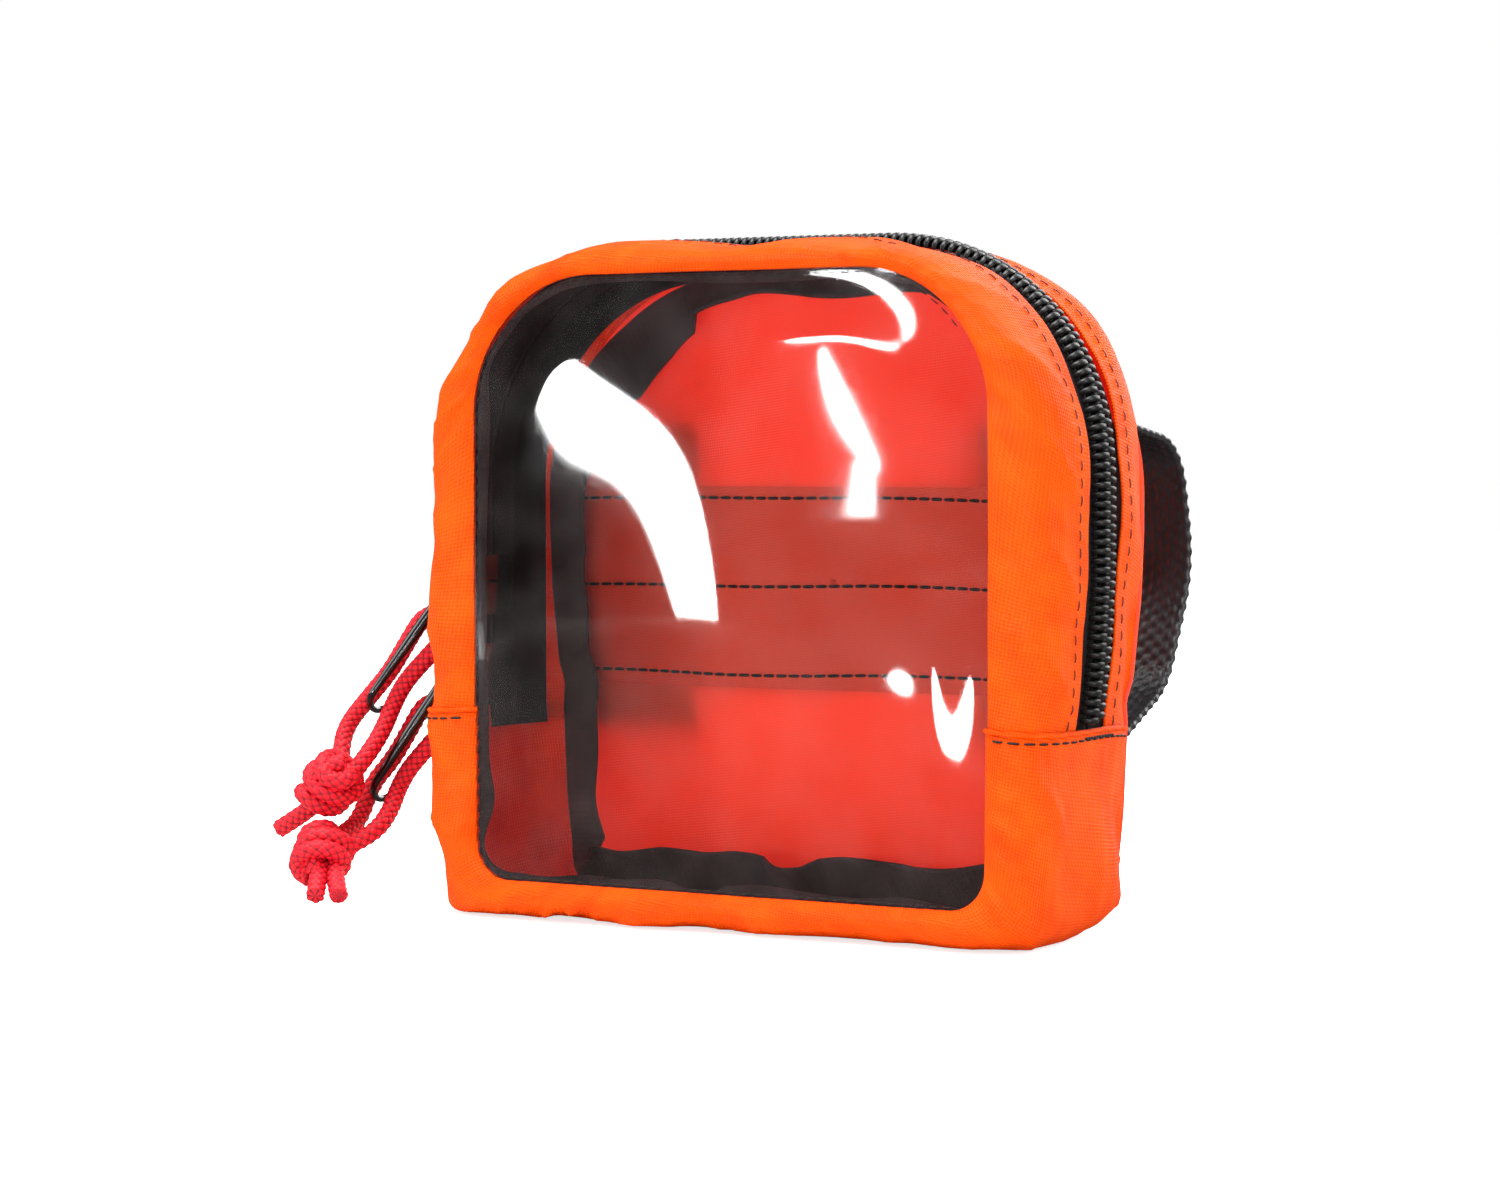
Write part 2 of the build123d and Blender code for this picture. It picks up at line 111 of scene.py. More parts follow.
def grid(name, points, material, closed_u=False, closed_v=False, uv=None):
    """A mesh from a grid of points [u, v, xyz] in mm. Its UVs are the running lengths in mm."""
    points = np.asarray(points, float)
    nu, nv = points.shape[:2]
    if uv is None:
        along = np.linalg.norm(np.diff(points, axis=0), axis=2).mean(1)
        across = np.linalg.norm(np.diff(points, axis=1), axis=2).mean(0)
        u = np.concatenate([[0], np.cumsum(along)])
        v = np.concatenate([[0], np.cumsum(across)])
        uv = np.stack(np.meshgrid(u, v, indexing="ij"), 2)
    iu = np.arange(nu if closed_u else nu - 1)[:, None]
    iv = np.arange(nv if closed_v else nv - 1)[None]
    a, b = iu * nv + iv, ((iu + 1) % nu) * nv + iv
    c, d = ((iu + 1) % nu) * nv + (iv + 1) % nv, iu * nv + (iv + 1) % nv
    faces = np.stack([a, b, c, d], 2).reshape(-1, 4)
    return mesh(name, points.reshape(-1, 3), faces, np.asarray(uv).reshape(-1, 2), material)


def running_length(line):
    """Running length along an open line of points, starting at zero."""
    return np.concatenate([[0], np.cumsum(np.linalg.norm(np.diff(line, axis=0), axis=1))])


def at_lengths(places, length, line):
    """Points of a line of known running length at the given places along it."""
    return np.stack([np.interp(places, length, line[:, k]) for k in range(3)], -1)


def unit(vectors):
    """Vectors divided by their own lengths."""
    return vectors / np.linalg.norm(vectors, axis=-1)[..., None]


def frames(line, up=(0, 0, 1)):
    """Unit tangents of a line of points, and two unit vectors square to it that don't twist."""
    tangent = unit(np.gradient(line, axis=0))
    side = np.zeros_like(tangent)
    first = np.cross(tangent[0], up)
    if np.linalg.norm(first) < 1e-3:
        first = np.cross(tangent[0], (1, 0, 0))
    side[0] = first / np.linalg.norm(first)
    for i in range(1, len(line)):
        side[i] = unit(side[i - 1] - tangent[i] * (side[i - 1] @ tangent[i]))
    return tangent, side, np.cross(tangent, side)


CORD_RADIUS, BRAID_PITCH, STRANDS_EACH_WAY = 1.72, 9.6, 6


def braid(name, line, material, step=0.22, around=48):
    """A braided cord sheath: a tube whose radius rises in diamonds where six strands turning one
    way pass six turning the other. The height is the root of the product of two sines, and goes
    into the UV map's first number, from which the cord's material paints the valleys darker as
    painted shade. Both ends close flat."""
    length = running_length(line)
    even = np.linspace(0, length[-1], int(length[-1] / step))
    line = at_lengths(even, length, line)
    for _ in range(4):
        line[1:-1] = (line[:-2] + 2 * line[1:-1] + line[2:]) / 4
    tangent, side, other = frames(line)
    angle = np.linspace(0, 2 * np.pi, around, endpoint=False)
    turned = 2 * np.pi * even[:, None] / BRAID_PITCH
    half = STRANDS_EACH_WAY / 2
    height = np.sqrt(np.abs(np.sin(half * (angle[None] + turned)) * np.sin(half * (angle[None] - turned))))
    r = CORD_RADIUS * (0.84 + 0.19 * height)
    ring = np.cos(angle)[None, :, None] * side[:, None] + np.sin(angle)[None, :, None] * other[:, None]
    points = line[:, None] + r[:, :, None] * ring
    first = (line[0] - 0.1 * tangent[0]) + 0 * ring[0]
    last = (line[-1] + 0.1 * tangent[-1]) + 0 * ring[0]
    points = np.concatenate([first[None], points, last[None]])
    height = np.concatenate([height[:1] * 0.5, height, height[-1:] * 0.5])
    along = np.concatenate([[0], even, even[-1:]])
    uv = np.stack(np.broadcast_arrays(height, along[:, None]), 2)
    return grid(name, points, material, closed_v=True, uv=uv)


cord_red, tree, out_node = new_material("red_cord", "D8001E")
place = add_node(tree, "ShaderNodeUVMap", [("uv_map", "mm")]).outputs[0]
ridge = add_node(tree, "ShaderNodeSeparateXYZ", (), [(0, place)])
# Painted shade: the ramp paints the braid's valleys dark red and its crests bright red, from the height
# kept in the UV map.
ramp = add_node(tree, "ShaderNodeValToRGB", (), [(0, ridge.outputs[0])])
for stop, where, code in zip(ramp.color_ramp.elements, (0.15, 0.80), ("700216", "DC061E")):
    stop.position, stop.color = where, linear(code)
solid = add_node(tree, "ShaderNodeTexCoord").outputs["Object"]
fibres = add_node(tree, "ShaderNodeTexNoise", [("Scale", 2600.0), ("Detail", 1.0)], [("Vector", solid)])
bump_size = [("Strength", 0.3), ("Distance", 0.0002)]
bumped = add_node(tree, "ShaderNodeBump", bump_size, [("Height", fibres.outputs[0])])
gloss = [("Roughness", 0.6), ("Specular IOR Level", 0.3)]
links = [("Base Color", ramp.outputs[0]), ("Normal", bumped.outputs[0])]
shader = add_node(tree, "ShaderNodeBsdfPrincipled", gloss, links)
tree.links.new(shader.outputs[0], out_node.inputs[0])
CORD_ROUTES = {
    "upper": [
        (-0.1001, -0.0145, 0.0127), (-0.0944, -0.0140, 0.0159), (-0.0896, -0.0130, 0.0202),
        (-0.0894, -0.0095, 0.0257), (-0.0916, -0.0055, 0.0314), (-0.0873, -0.0029, 0.0376),
        (-0.0834, -0.0020, 0.0421), (-0.0805, -0.0009, 0.0473), (-0.0775, 0.0002, 0.0524),
        (-0.0747, 0.0003, 0.0529), (-0.0724, 0.0000, 0.0513), (-0.0719, -0.0006, 0.0486),
        (-0.0757, -0.0015, 0.0446), (-0.0795, -0.0023, 0.0406), (-0.0816, -0.0031, 0.0367),
        (-0.0824, -0.0060, 0.0310), (-0.0833, -0.0105, 0.0261), (-0.0858, -0.0140, 0.0214),
        (-0.0923, -0.0100, 0.0181), (-0.0976, -0.0045, 0.0163),
    ],
    "lower": [
        (-0.0816, -0.0280, 0.0026), (-0.0837, -0.0240, 0.0055), (-0.0873, -0.0188, 0.0100),
        (-0.0876, -0.0120, 0.0119), (-0.0880, -0.0056, 0.0140), (-0.0869, -0.0032, 0.0209),
        (-0.0829, -0.0021, 0.0255), (-0.0801, -0.0009, 0.0307), (-0.0773, 0.0002, 0.0360),
        (-0.0746, 0.0003, 0.0365), (-0.0723, 0.0000, 0.0350), (-0.0717, -0.0006, 0.0324),
        (-0.0752, -0.0015, 0.0282), (-0.0789, -0.0024, 0.0241), (-0.0809, -0.0032, 0.0202),
        (-0.0805, -0.0060, 0.0165), (-0.0799, -0.0115, 0.0129), (-0.0844, -0.0175, 0.0095),
        (-0.0814, -0.0225, 0.0055), (-0.0777, -0.0260, 0.0026),
    ],
}
# Knot middle, axis, cord length (mm), and the pull's ring end, where the cord leaves it (m).
KNOTS = {
    "upper": ((-87.9, -14.2, 22.0), (-0.80, 0.0, -0.60), 110.3, (-0.0862, -0.0036, 0.0345)),
    "lower": ((-86.2, -19.4, 9.2), (0.25, -0.75, -0.60), 106.4, (-0.0854, -0.0037, 0.0178)),
}
for level, route in CORD_ROUTES.items():
    curve = bpy.data.curves.new(f"{level}_pull_cord_core", "CURVE")
    curve.dimensions = "3D"
    spline = curve.splines.new("NURBS")
    spline.points.add(len(route) - 1)
    spline.points.foreach_set("co", [c for p in route for c in (*p, 1.0)])
    spline.order_u = 3
    spline.use_endpoint_u = True
    spline.resolution_u = 12
    core = bpy.data.objects.new("bare_line", curve)
    bpy.context.scene.collection.objects.link(core)
    depsgraph = bpy.context.evaluated_depsgraph_get()
    read = bpy.data.meshes.new_from_object(core.evaluated_get(depsgraph))
    line = np.zeros(len(read.vertices) * 3)
    read.vertices.foreach_get("co", line)
    line = line.reshape(-1, 3) * 1000
    bpy.data.meshes.remove(read)
    core.name = f"{level}_cord_core"
    curve.bevel_depth = 0.00145
    curve.bevel_resolution = 3
    curve.use_fill_caps = True
    curve.materials.append(cord_red)
    sheath = braid(f"{level}_cord_braid", line, cord_red)

    # The knot: the doubled cord wrapped once and a third round itself, both strands side by side,
    # and two strands that bridge the wraps.
    middle, axis, length, leaves = KNOTS[level]
    middle, axis = np.array(middle), unit(np.array(axis))
    u = unit(np.cross(axis, (0.3, 1.0, 0.2)))
    w = np.cross(axis, u)
    wraps = []
    for strand, (shift, phase) in enumerate(((-1.75, 0.0), (1.75, 0.25))):
        t = np.linspace(0, 1, 90)
        swing = 2 * np.pi * (1.32 * t + 0.05) + phase
        tuck = np.clip(np.minimum(t, 1 - t) / 0.14, 0, 1)
        r = 1.3 + 2.7 * np.sin(tuck * np.pi / 2)
        rise = shift + 3.4 * (t - 0.5) + (1 - tuck) * np.where(t < 0.5, -1.9, 1.9)
        path = middle + np.outer(rise + 0.7 * np.sin(swing), axis)
        path = path + (r * np.cos(swing))[:, None] * u + (r * np.sin(swing))[:, None] * w
        wraps.append(braid(f"{level}_knot_wrap_{strand}", path, cord_red))
    for strand, (shift, lean) in enumerate(((-1.5, 0.5), (1.5, -0.35))):
        t = np.linspace(-1, 1, 40)
        path = middle + np.outer(5.4 * t, axis) + np.outer(lean + 3.1 * np.cos(t * 1.4), w)
        path = path + np.outer(shift * np.cos(t * 1.1) + lean * t, u)
        wraps.append(braid(f"{level}_knot_bridge_{strand}", path, cord_red))
    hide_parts(f"{level}_pull_cord")
    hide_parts(f"{level}_pull_knot")
    for piece in (core, sheath, *wraps):
        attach(piece, f"{level}_pull")


# Bag cloth: coated orange nylon. A lower gusset runs under the bag up to its hem at each side; two
# strips carry the zipper over the top; all end in the window seam and the back seam. Thin coated
# cloth is matt, lets some light through, and shows a fine slanting weave.
def wave_height(tree, uv, across, along, angle=0.0):
    """A weave's height from two crossed sine ribs, with spacings in mm."""
    turned = [("Rotation", (0, 0, math.radians(angle)))]
    turned = add_node(tree, "ShaderNodeMapping", turned, [("Vector", uv)])
    split = add_node(tree, "ShaderNodeSeparateXYZ", (), [(0, turned.outputs[0])])
    ribs = []
    for axis, spacing in ((0, across), (1, along)):
        scale = [("operation", "MULTIPLY"), (1, 2 * math.pi / spacing)]
        scaled = add_node(tree, "ShaderNodeMath", scale, [(0, split.outputs[axis])])
        ribs.append(add_node(tree, "ShaderNodeMath", [("operation", "SINE")], [(0, scaled.outputs[0])]))
    links = [(0, ribs[0].outputs[0]), (1, ribs[1].outputs[0])]
    return add_node(tree, "ShaderNodeMath", [("operation", "MULTIPLY")], links).outputs[0]


def woven(name, dark, light, weave, rough, bump, spec, angle=0.0, glow=0.0, sheen=0.0):
    """Cloth: two tones mixed by a crossed weave of real spacing (mm) and by slow blotches, with the
    same weave as bump. The pattern reads the piece's own UV map, which is in millimetres. Glow is
    the share of light that the cloth lets through."""
    made, tree, out = new_material(name, light)
    uv = add_node(tree, "ShaderNodeUVMap", [("uv_map", "mm")]).outputs[0]
    height = wave_height(tree, uv, *weave, angle)
    blotch = add_node(tree, "ShaderNodeTexNoise", [("Scale", 0.12), ("Detail", 3.0)], [("Vector", uv)])
    grain = add_node(tree, "ShaderNodeTexNoise", [("Scale", 3.0), ("Detail", 1.0)], [("Vector", uv)])
    scaled = ("operation", "MULTIPLY_ADD")
    level = add_node(tree, "ShaderNodeMath", [scaled, (1, 0.22), (2, 0.2)], [(0, height)])
    links = [(0, level.outputs[0]), (1, blotch.outputs[0])]
    level = add_node(tree, "ShaderNodeMath", [("operation", "ADD")], links)
    links = [(0, grain.outputs[0]), (2, level.outputs[0])]
    level = add_node(tree, "ShaderNodeMath", [scaled, (1, 0.15)], links)
    ramp = add_node(tree, "ShaderNodeValToRGB", (), [(0, level.outputs[0])])
    for stop, where, code in zip(ramp.color_ramp.elements, (0.3, 1.0), (dark, light)):
        stop.position, stop.color = where, linear(code)
    relief = add_node(tree, "ShaderNodeMath", [scaled, (1, 0.5)], [(0, grain.outputs[0]), (2, height)])
    bump_size = [("Strength", bump), ("Distance", 0.0003)]
    bumped = add_node(tree, "ShaderNodeBump", bump_size, [("Height", relief.outputs[0])])
    links = [("Base Color", ramp.outputs[0]), ("Normal", bumped.outputs[0])]
    gloss = [("Roughness", rough), ("Sheen Weight", sheen), ("Specular IOR Level", spec)]
    shader = add_node(tree, "ShaderNodeBsdfPrincipled", gloss, links)
    if glow:
        lit = add_node(tree, "ShaderNodeBsdfTranslucent", (), [("Color", ramp.outputs[0])])
        links = [(1, shader.outputs[0]), (2, lit.outputs[0])]
        shader = add_node(tree, "ShaderNodeMixShader", [(0, glow)], links)
    tree.links.new(shader.outputs[0], out.inputs[0])
    return made


CLOTH_DARK, CLOTH_LIGHT = "E23A00", "FF5E00"
orange = woven(
    "orange_cloth", CLOTH_DARK, CLOTH_LIGHT, (0.85, 0.85), 0.45, bump=0.5, spec=0.10, angle=38.0, glow=0.25
)


def loop_outline(base, side, height, low_r, top_r, flare=36.0, per=(30, 26, 50, 44, 54)):
    """Half-outlines joined into a closed loop seen from the front, starting at the bottom middle
    and running to +X: straight base, base corner arc, flared side, top corner arc, straight top.
    Every outline has the same number of points per run, so that outlines can be mixed."""
    lean = math.atan2(side - base, flare)
    n0, n1, n2, n3, n4 = per
    x = base - low_r * math.tan(math.pi / 4 - lean / 2)
    arc_end = math.pi / 2 - lean
    start = np.stack([np.linspace(0, x, n0, endpoint=False), np.zeros(n0)], 1)
    a = np.linspace(0, arc_end, n1, endpoint=False)
    corner = np.stack([x + low_r * np.sin(a), low_r - low_r * np.cos(a)], 1)
    z0 = low_r - low_r * math.cos(arc_end)
    x0 = x + low_r * math.sin(arc_end)
    z1 = height - top_r
    z = np.linspace(z0, z1, n2, endpoint=False)
    wide = np.where(z < flare, x0 + (side - x0) * (z - z0) / (flare - z0), side)
    edge = np.stack([wide, z], 1)
    a = np.linspace(0, math.pi / 2, n3, endpoint=False)
    top = np.stack([side - top_r + top_r * np.cos(a), z1 + top_r * np.sin(a)], 1)
    over = np.stack([np.linspace(side - top_r, 0, n4 // 2), np.full(n4 // 2, height)], 1)
    half = np.concatenate([start, corner, edge, top, over])
    return np.concatenate([half, half[-2:0:-1] * (-1, 1)])


window = loop_outline(51.3, 51.5, 108.0, 7.0, 25.0, 29.5) + (0, 6.5)
middle_line = loop_outline(61.0, 64.0, 120.0, 7.0, 42.0)
back_line = loop_outline(56.5, 60.5, 117.5, 7.0, 42.0)
# The window's side points sit level with the cloth's, so that the hem runs straight across.
side_run = (middle_line[:, 1] > 6.5) & (middle_line[:, 1] < 77.9)
levels = ((6.4, 25, 50, 66, 78), (13.5, 26, 50.5, 70, 89.5))
window[side_run, 1] = np.interp(middle_line[side_run, 1], *levels)
# The right side is drawn in at the hem, and the back outline bellies out above it.
pulled_in = np.interp(middle_line[:, 1], (0, 20, 37, 50, 62), (-1.2, -1.6, -2.2, -0.7, 0))
middle_line[:, 0] += pulled_in * np.clip(middle_line[:, 0] / 55, 0, 1)
back_in = np.interp(back_line[:, 1], (0, 20, 40, 44, 58, 70), (-1.5, -2.0, -3.3, -2.0, -0.5, 0))
back_line[:, 0] += back_in * np.clip(back_line[:, 0] / 55, -1, 1)
# The soft back corner at the right stands a little off the ground.
raised = np.clip((back_line[:, 0] - 20) / 30, 0, 1)
back_line[:, 1] += 2.6 * raised * np.exp(-((back_line[:, 1] / 14) ** 2))
LOOP = len(window)
INSIDE = np.array([0, 0, 60.0])  # a point well inside the bag


def along_lengths(points):
    """Running length round a closed loop of points, in mm, starting at zero."""
    steps = np.linalg.norm(np.roll(points, -1, 0) - points, axis=1)
    return np.concatenate([[0], np.cumsum(steps)[:-1]])


LENGTH = along_lengths(middle_line)


def soft_noise(a, b, waves, seed):
    """Sum of sine waves at random angles over two lengths in mm; waves is (wavelength, height)."""
    gen = np.random.default_rng(seed)
    total = np.zeros(np.broadcast(a, b).shape)
    for wavelength, height in waves:
        for _ in range(4):
            angle, phase = gen.uniform(0, 2 * np.pi), gen.uniform(0, 2 * np.pi)
            k = 2 * np.pi / (wavelength * gen.uniform(0.75, 1.3))
            total = total + height / 2 * np.sin(k * (a * np.cos(angle) + b * np.sin(angle)) + phase)
    return total


def creases(length, waves, seed):
    """Sharp-topped ridges across a running length in mm; waves is (spacing, height). Each ridge is
    one less the size of a sine, squared, and slow sines make some taller than others."""
    gen = np.random.default_rng(seed)
    total = 0.0 * length
    for spacing, height in waves:
        wander = length + spacing * 0.45 * np.sin(length / (spacing * 1.7) + gen.uniform(0, 6))
        ridge = (1 - np.abs(np.sin(np.pi * wander / spacing))) ** 2
        tall = 0.6 + 0.4 * np.sin(length / (spacing * 2.3) + gen.uniform(0, 6))
        total = total + height * ridge * tall
    return total


# Section of the cloth from the window seam round to the back seam: share of the way from the
# window outline to the bag's widest outline, share on to the back outline, and depth y.
SECTION = np.array(
    [
        (-0.02, 0, -20.3), (0.02, 0, -20.9), (0.10, 0, -21.6), (0.25, 0, -22.1), (0.45, 0, -22.0),
        (0.65, 0, -21.0), (0.82, 0, -19.0), (0.93, 0, -16.2), (0.985, 0, -12.5), (1.0, 0, -9.0),
        (1.0, 0, -5.5), (1.0, 0, 1.0), (0.995, 0.03, 7.5), (1.0, 0.22, 12.5), (1.0, 0.6, 16.5),
        (1.0, 0.9, 19.0), (1.0, 1.0, 20.3),
    ]
)
FRONT_Y, BACK_Y = -21.5, 20.3  # the depths of the window seam and the back seam


def zipper_shift(x, z):
    """How far the zipper wanders forwards: 3 mm down the right side, none at the top and left."""
    return -3.2 * np.clip((x - 30) / 30, 0, 1) * np.clip((112 - z) / 30, 0, 1)


def cloth_surface(rows, low_y, high_y, ny, lift=0.0):
    """Bag cloth over the given loop indices and between two depths. A point is the window outline
    moved to the widest and back outlines by the section's shares, then pushed along the outward
    direction by puckers at the seams (ridges along the seam that fade away from it), by slow
    diagonal folds, by drag lines near the hem and by a belly at the upper back corners."""
    arc = running_length(SECTION * (13, 8, 1))
    total = arc[-1]
    if low_y == FRONT_Y:
        s = np.linspace(0, np.interp(high_y, SECTION[3:, 2], arc[3:]), ny)
    else:
        s = np.interp(np.linspace(low_y, high_y, ny), SECTION[3:, 2], arc[3:])
    share, back, depth = (np.interp(s, arc, SECTION[:, k]) for k in range(3))
    flat = (
        window[rows][:, None] * (1 - share)[None, :, None]
        + middle_line[rows][:, None] * (share - back)[None, :, None]
        + back_line[rows][:, None] * back[None, :, None]
    )
    x, z = middle_line[rows, 0][:, None], middle_line[rows, 1][:, None]
    near_zip = np.clip(np.minimum((depth + 17) / 9, (19 - depth) / 9), 0, 1)
    y = depth[None] + zipper_shift(x, z) * near_zip[None]
    points = np.stack([flat[..., 0], y, flat[..., 1]], 2)
    normal = np.cross(np.gradient(points, axis=0), np.gradient(points, axis=1))
    normal /= np.linalg.norm(normal, axis=2)[..., None] + 1e-9
    if (normal * (INSIDE - points)).sum() > 0:
        normal = -normal
    u, s = LENGTH[rows][:, None], s[None]
    pucker = creases(u + 0.35 * np.sin(u / 31.0) * s, ((7.5, 1.05), (4.6, 0.45)), 4)
    near = np.exp(-(((s - 7.0) / 5.0) ** 2)) + 0.6 * np.exp(-(((total - 2.0 - s) / 4.0) ** 2))
    near = near * (0.35 + 0.65 * np.abs(np.sin(u / 19.0 + 1.3)))
    fold = soft_noise(u + 0.8 * s, s * 0.35, ((34.0, 0.55), (15.0, 0.32)), 5)
    drag = creases((u * 0.80 + s * 0.60), ((17.0, 1.25),), 8) * np.exp(-(((s - 15) / 8) ** 2))
    edge = np.clip(s / 3.0, 0, 1) * np.clip((total - s) / 3.0, 0, 1)
    corner = ((np.abs(x) - 47) ** 2 + (z - 106) ** 2) / 260
    belly = 2.6 * np.exp(-corner - ((total - 7 - s) / 5) ** 2)
    push = lift + edge * (near * pucker + fold + drag) + belly
    moved = points + push[..., None] * normal
    # The ground presses the underside flat.
    moved[..., 2] = np.maximum(moved[..., 2], 0.5)
    return moved


CLOTH = 0.45


def thicken(sheet, thickness):
    """Gives a sheet its thickness in mm."""
    made = sheet.modifiers.new("thickness", "SOLIDIFY")
    made.thickness = thickness / 1000
    made.offset = 1.0
    return sheet


# The strips go down inside the gusset's hem, so the two overlap.
STRIPS_FROM_Z, GUSSET_TO_Z = 33.0, 37.6
FRONT_EDGE_Y, BACK_EDGE_Y = -5.5, 7.5  # the strips' folded edges beside the zipper
height_at = middle_line[:, 1]
upper_rows = np.nonzero(height_at > STRIPS_FROM_Z)[0]
lower_rows = np.nonzero(height_at < GUSSET_TO_Z)[0]
split = np.nonzero(np.diff(lower_rows) > 1)[0][0] + 1
lower_rows = np.concatenate([lower_rows[split:], lower_rows[:split]])

points = cloth_surface(upper_rows, FRONT_Y, FRONT_EDGE_Y, 46)
front_strip = thicken(grid("front_strip_cloth", points, orange), CLOTH)
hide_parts("front_gusset_strip")
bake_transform(front_strip)
points = cloth_surface(upper_rows, BACK_EDGE_Y, BACK_Y, 34)
back_strip = thicken(grid("back_strip_cloth", points, orange), CLOTH)
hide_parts("back_gusset_strip")
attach(back_strip, "bag")
lower_points = cloth_surface(lower_rows, FRONT_Y, BACK_Y, 90, lift=0.35)
lower_cloth = thicken(grid("lower_gusset_cloth", lower_points, orange), CLOTH)
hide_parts("lower_gusset")
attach(lower_cloth, "bag")


# Hems of the lower gusset: the cloth turned in and topstitched with black thread, one at each side,
# with a short row of closer stitches where the hem crosses the zipper. Bonded polyester thread has
# a soft shine.
def tube(name, line, radius, material, around=8):
    """A plain tube along a line of points in mm."""
    _, side, other = frames(line)
    angle = np.linspace(0, 2 * np.pi, around, endpoint=False)
    ring = np.cos(angle)[None, :, None] * side[:, None] + np.sin(angle)[None, :, None] * other[:, None]
    return grid(name, line[:, None] + radius * ring, material, closed_v=True)


def plain(name, colour, rough, metal=0.0, coat=0.0):
    """A plain shiny or matt surface with faint wear in its roughness."""
    made, tree, out = new_material(name, colour)
    solid = add_node(tree, "ShaderNodeTexCoord").outputs["Object"]
    wear = add_node(tree, "ShaderNodeTexNoise", [("Scale", 900.0)], [("Vector", solid)])
    ends = [("To Min", rough * 0.75), ("To Max", rough * 1.3)]
    spread = add_node(tree, "ShaderNodeMapRange", ends, [("Value", wear.outputs[0])])
    finish = [("Base Color", linear(colour)), ("Metallic", metal), ("Coat Weight", coat)]
    links = [("Roughness", spread.outputs[0])]
    shader = add_node(tree, "ShaderNodeBsdfPrincipled", finish, links)
    tree.links.new(shader.outputs[0], out.inputs[0])
    return made


def tube_faces(count, rings, around):
    """Faces of many separate open tubes, whose rings of points follow one another in one list."""
    which = np.meshgrid(np.arange(count), np.arange(rings - 1), np.arange(around), indexing="ij")
    first = (which[0] * rings + which[1]) * around
    here, after = which[2], (which[2] + 1) % around
    corners = [first + here, first + after, first + around + after, first + around + here]
    return np.stack(corners, 3).reshape(-1, 4)


thread = plain("black_thread", "17120F", 0.55)
thread_orange = plain("dark_thread", "6B2A12", 0.6)
THREAD_LIFT, HEM_ROW_Z = 0.12, 34.6


def stitches(name, line, outward, material, stitch=2.3, gap=0.55, width=0.3):
    """A row of thread stitches along a line: each is a small six-sided spindle that lies on the
    cloth and dips into it at both ends. Outward is one direction, or one per point."""
    outward = np.broadcast_to(outward, line.shape)
    length = running_length(line)
    starts = np.arange(0.3, length[-1] - stitch, stitch + gap)
    angle = np.linspace(0, 2 * np.pi, 6, endpoint=False)
    along = np.array([0.0, 0.15, 0.5, 0.85, 1.0])
    fat = np.array([0.35, 0.9, 1.0, 0.9, 0.35])
    sink = np.array([-0.25, 0.0, 0.08, 0.0, -0.25])
    at = starts[:, None] + along * stitch
    p, n = at_lengths(at, length, line), unit(at_lengths(at, length, outward))
    side = np.cross(unit(np.gradient(p, axis=1)), n)
    around = np.cos(angle)[:, None] * side[:, :, None] + np.sin(angle)[:, None] * n[:, :, None]
    middle = p + (THREAD_LIFT + sink)[:, None] * n
    ring = middle[:, :, None] + (width / 2 * fat)[:, None, None] * around
    uv = np.stack(np.broadcast_arrays(at[..., None], angle), 3).reshape(-1, 2)
    return mesh(name, ring.reshape(-1, 3), tube_faces(len(starts), 5, 6), uv, material)


for side, name in ((1, "right"), (-1, "left")):
    half_way = len(lower_rows) // 2
    half = lower_points[half_way:] if side > 0 else lower_points[:half_way][::-1]
    hem = tube(f"hem_fold_{name}", half[-1], 0.42, orange)
    line = half[np.abs(half[:, :, 2].mean(1) - HEM_ROW_Z).argmin()]
    out = unit(np.cross(np.gradient(line, axis=0), half[-1] - line))
    if (out * (line - INSIDE)).sum() < 0:
        out = -out
    seam = stitches(f"hem_stitches_{name}", line[4:-3], out[4:-3], thread, width=0.42)
    over_zip = (line[:, 1] > -6) & (line[:, 1] < 9)
    tack_line = line[over_zip] + (0, 0, 0.25)
    tack = stitches(f"hem_backtack_{name}", tack_line, out[over_zip], thread, 1.1, 0.1, 0.5)
    for piece in (hem, seam, tack):
        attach(piece, "bag")


# Topstitching along the two folded edges beside the zipper: one straight row each, in dark orange
# thread that dips into the cloth between its stitches.
FRONT_ROW_Y, BACK_ROW_Y = -9.0, 11.0


def surface_line(y):
    """Points on the upper cloth at one depth, with their outward directions."""
    points = cloth_surface(upper_rows, FRONT_Y, BACK_Y, 90)
    j = np.abs(points[:, :, 1] - y).mean(0)[3:].argmin() + 3
    line = points[:, j]
    normal = unit(np.cross(np.gradient(line, axis=0), points[:, j + 1] - points[:, j - 1]))
    return line, normal if (normal * (line - INSIDE)).sum() >= 0 else -normal


line, out = surface_line(FRONT_ROW_Y)
front_row = stitches("front_edge_stitches", line, out, thread_orange, 2.0, 0.9, 0.26)
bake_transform(front_row)
line, out = surface_line(BACK_ROW_Y)
back_row = stitches("back_edge_stitches", line, out, thread_orange, 2.0, 0.9, 0.26)
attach(back_row, "bag")


# Back panel: one layer of the same cloth, with a doubled band behind it held by three rows of
# black stitches. Its coated inner face is redder. The doubled part lets less light through, and
# seen from inside its darker look is also painted into the inner colour as painted shade. The
# inner colour also carries a faint painted shade by height.
inner_made, tree, out_node = new_material("orange_inside", "F0441C")
uv = add_node(tree, "ShaderNodeUVMap", [("uv_map", "mm")]).outputs[0]
place = add_node(tree, "ShaderNodeSeparateXYZ", (), [(0, uv)])
smudge = add_node(tree, "ShaderNodeTexNoise", [("Scale", 0.03), ("Detail", 2.0)], [("Vector", uv)])
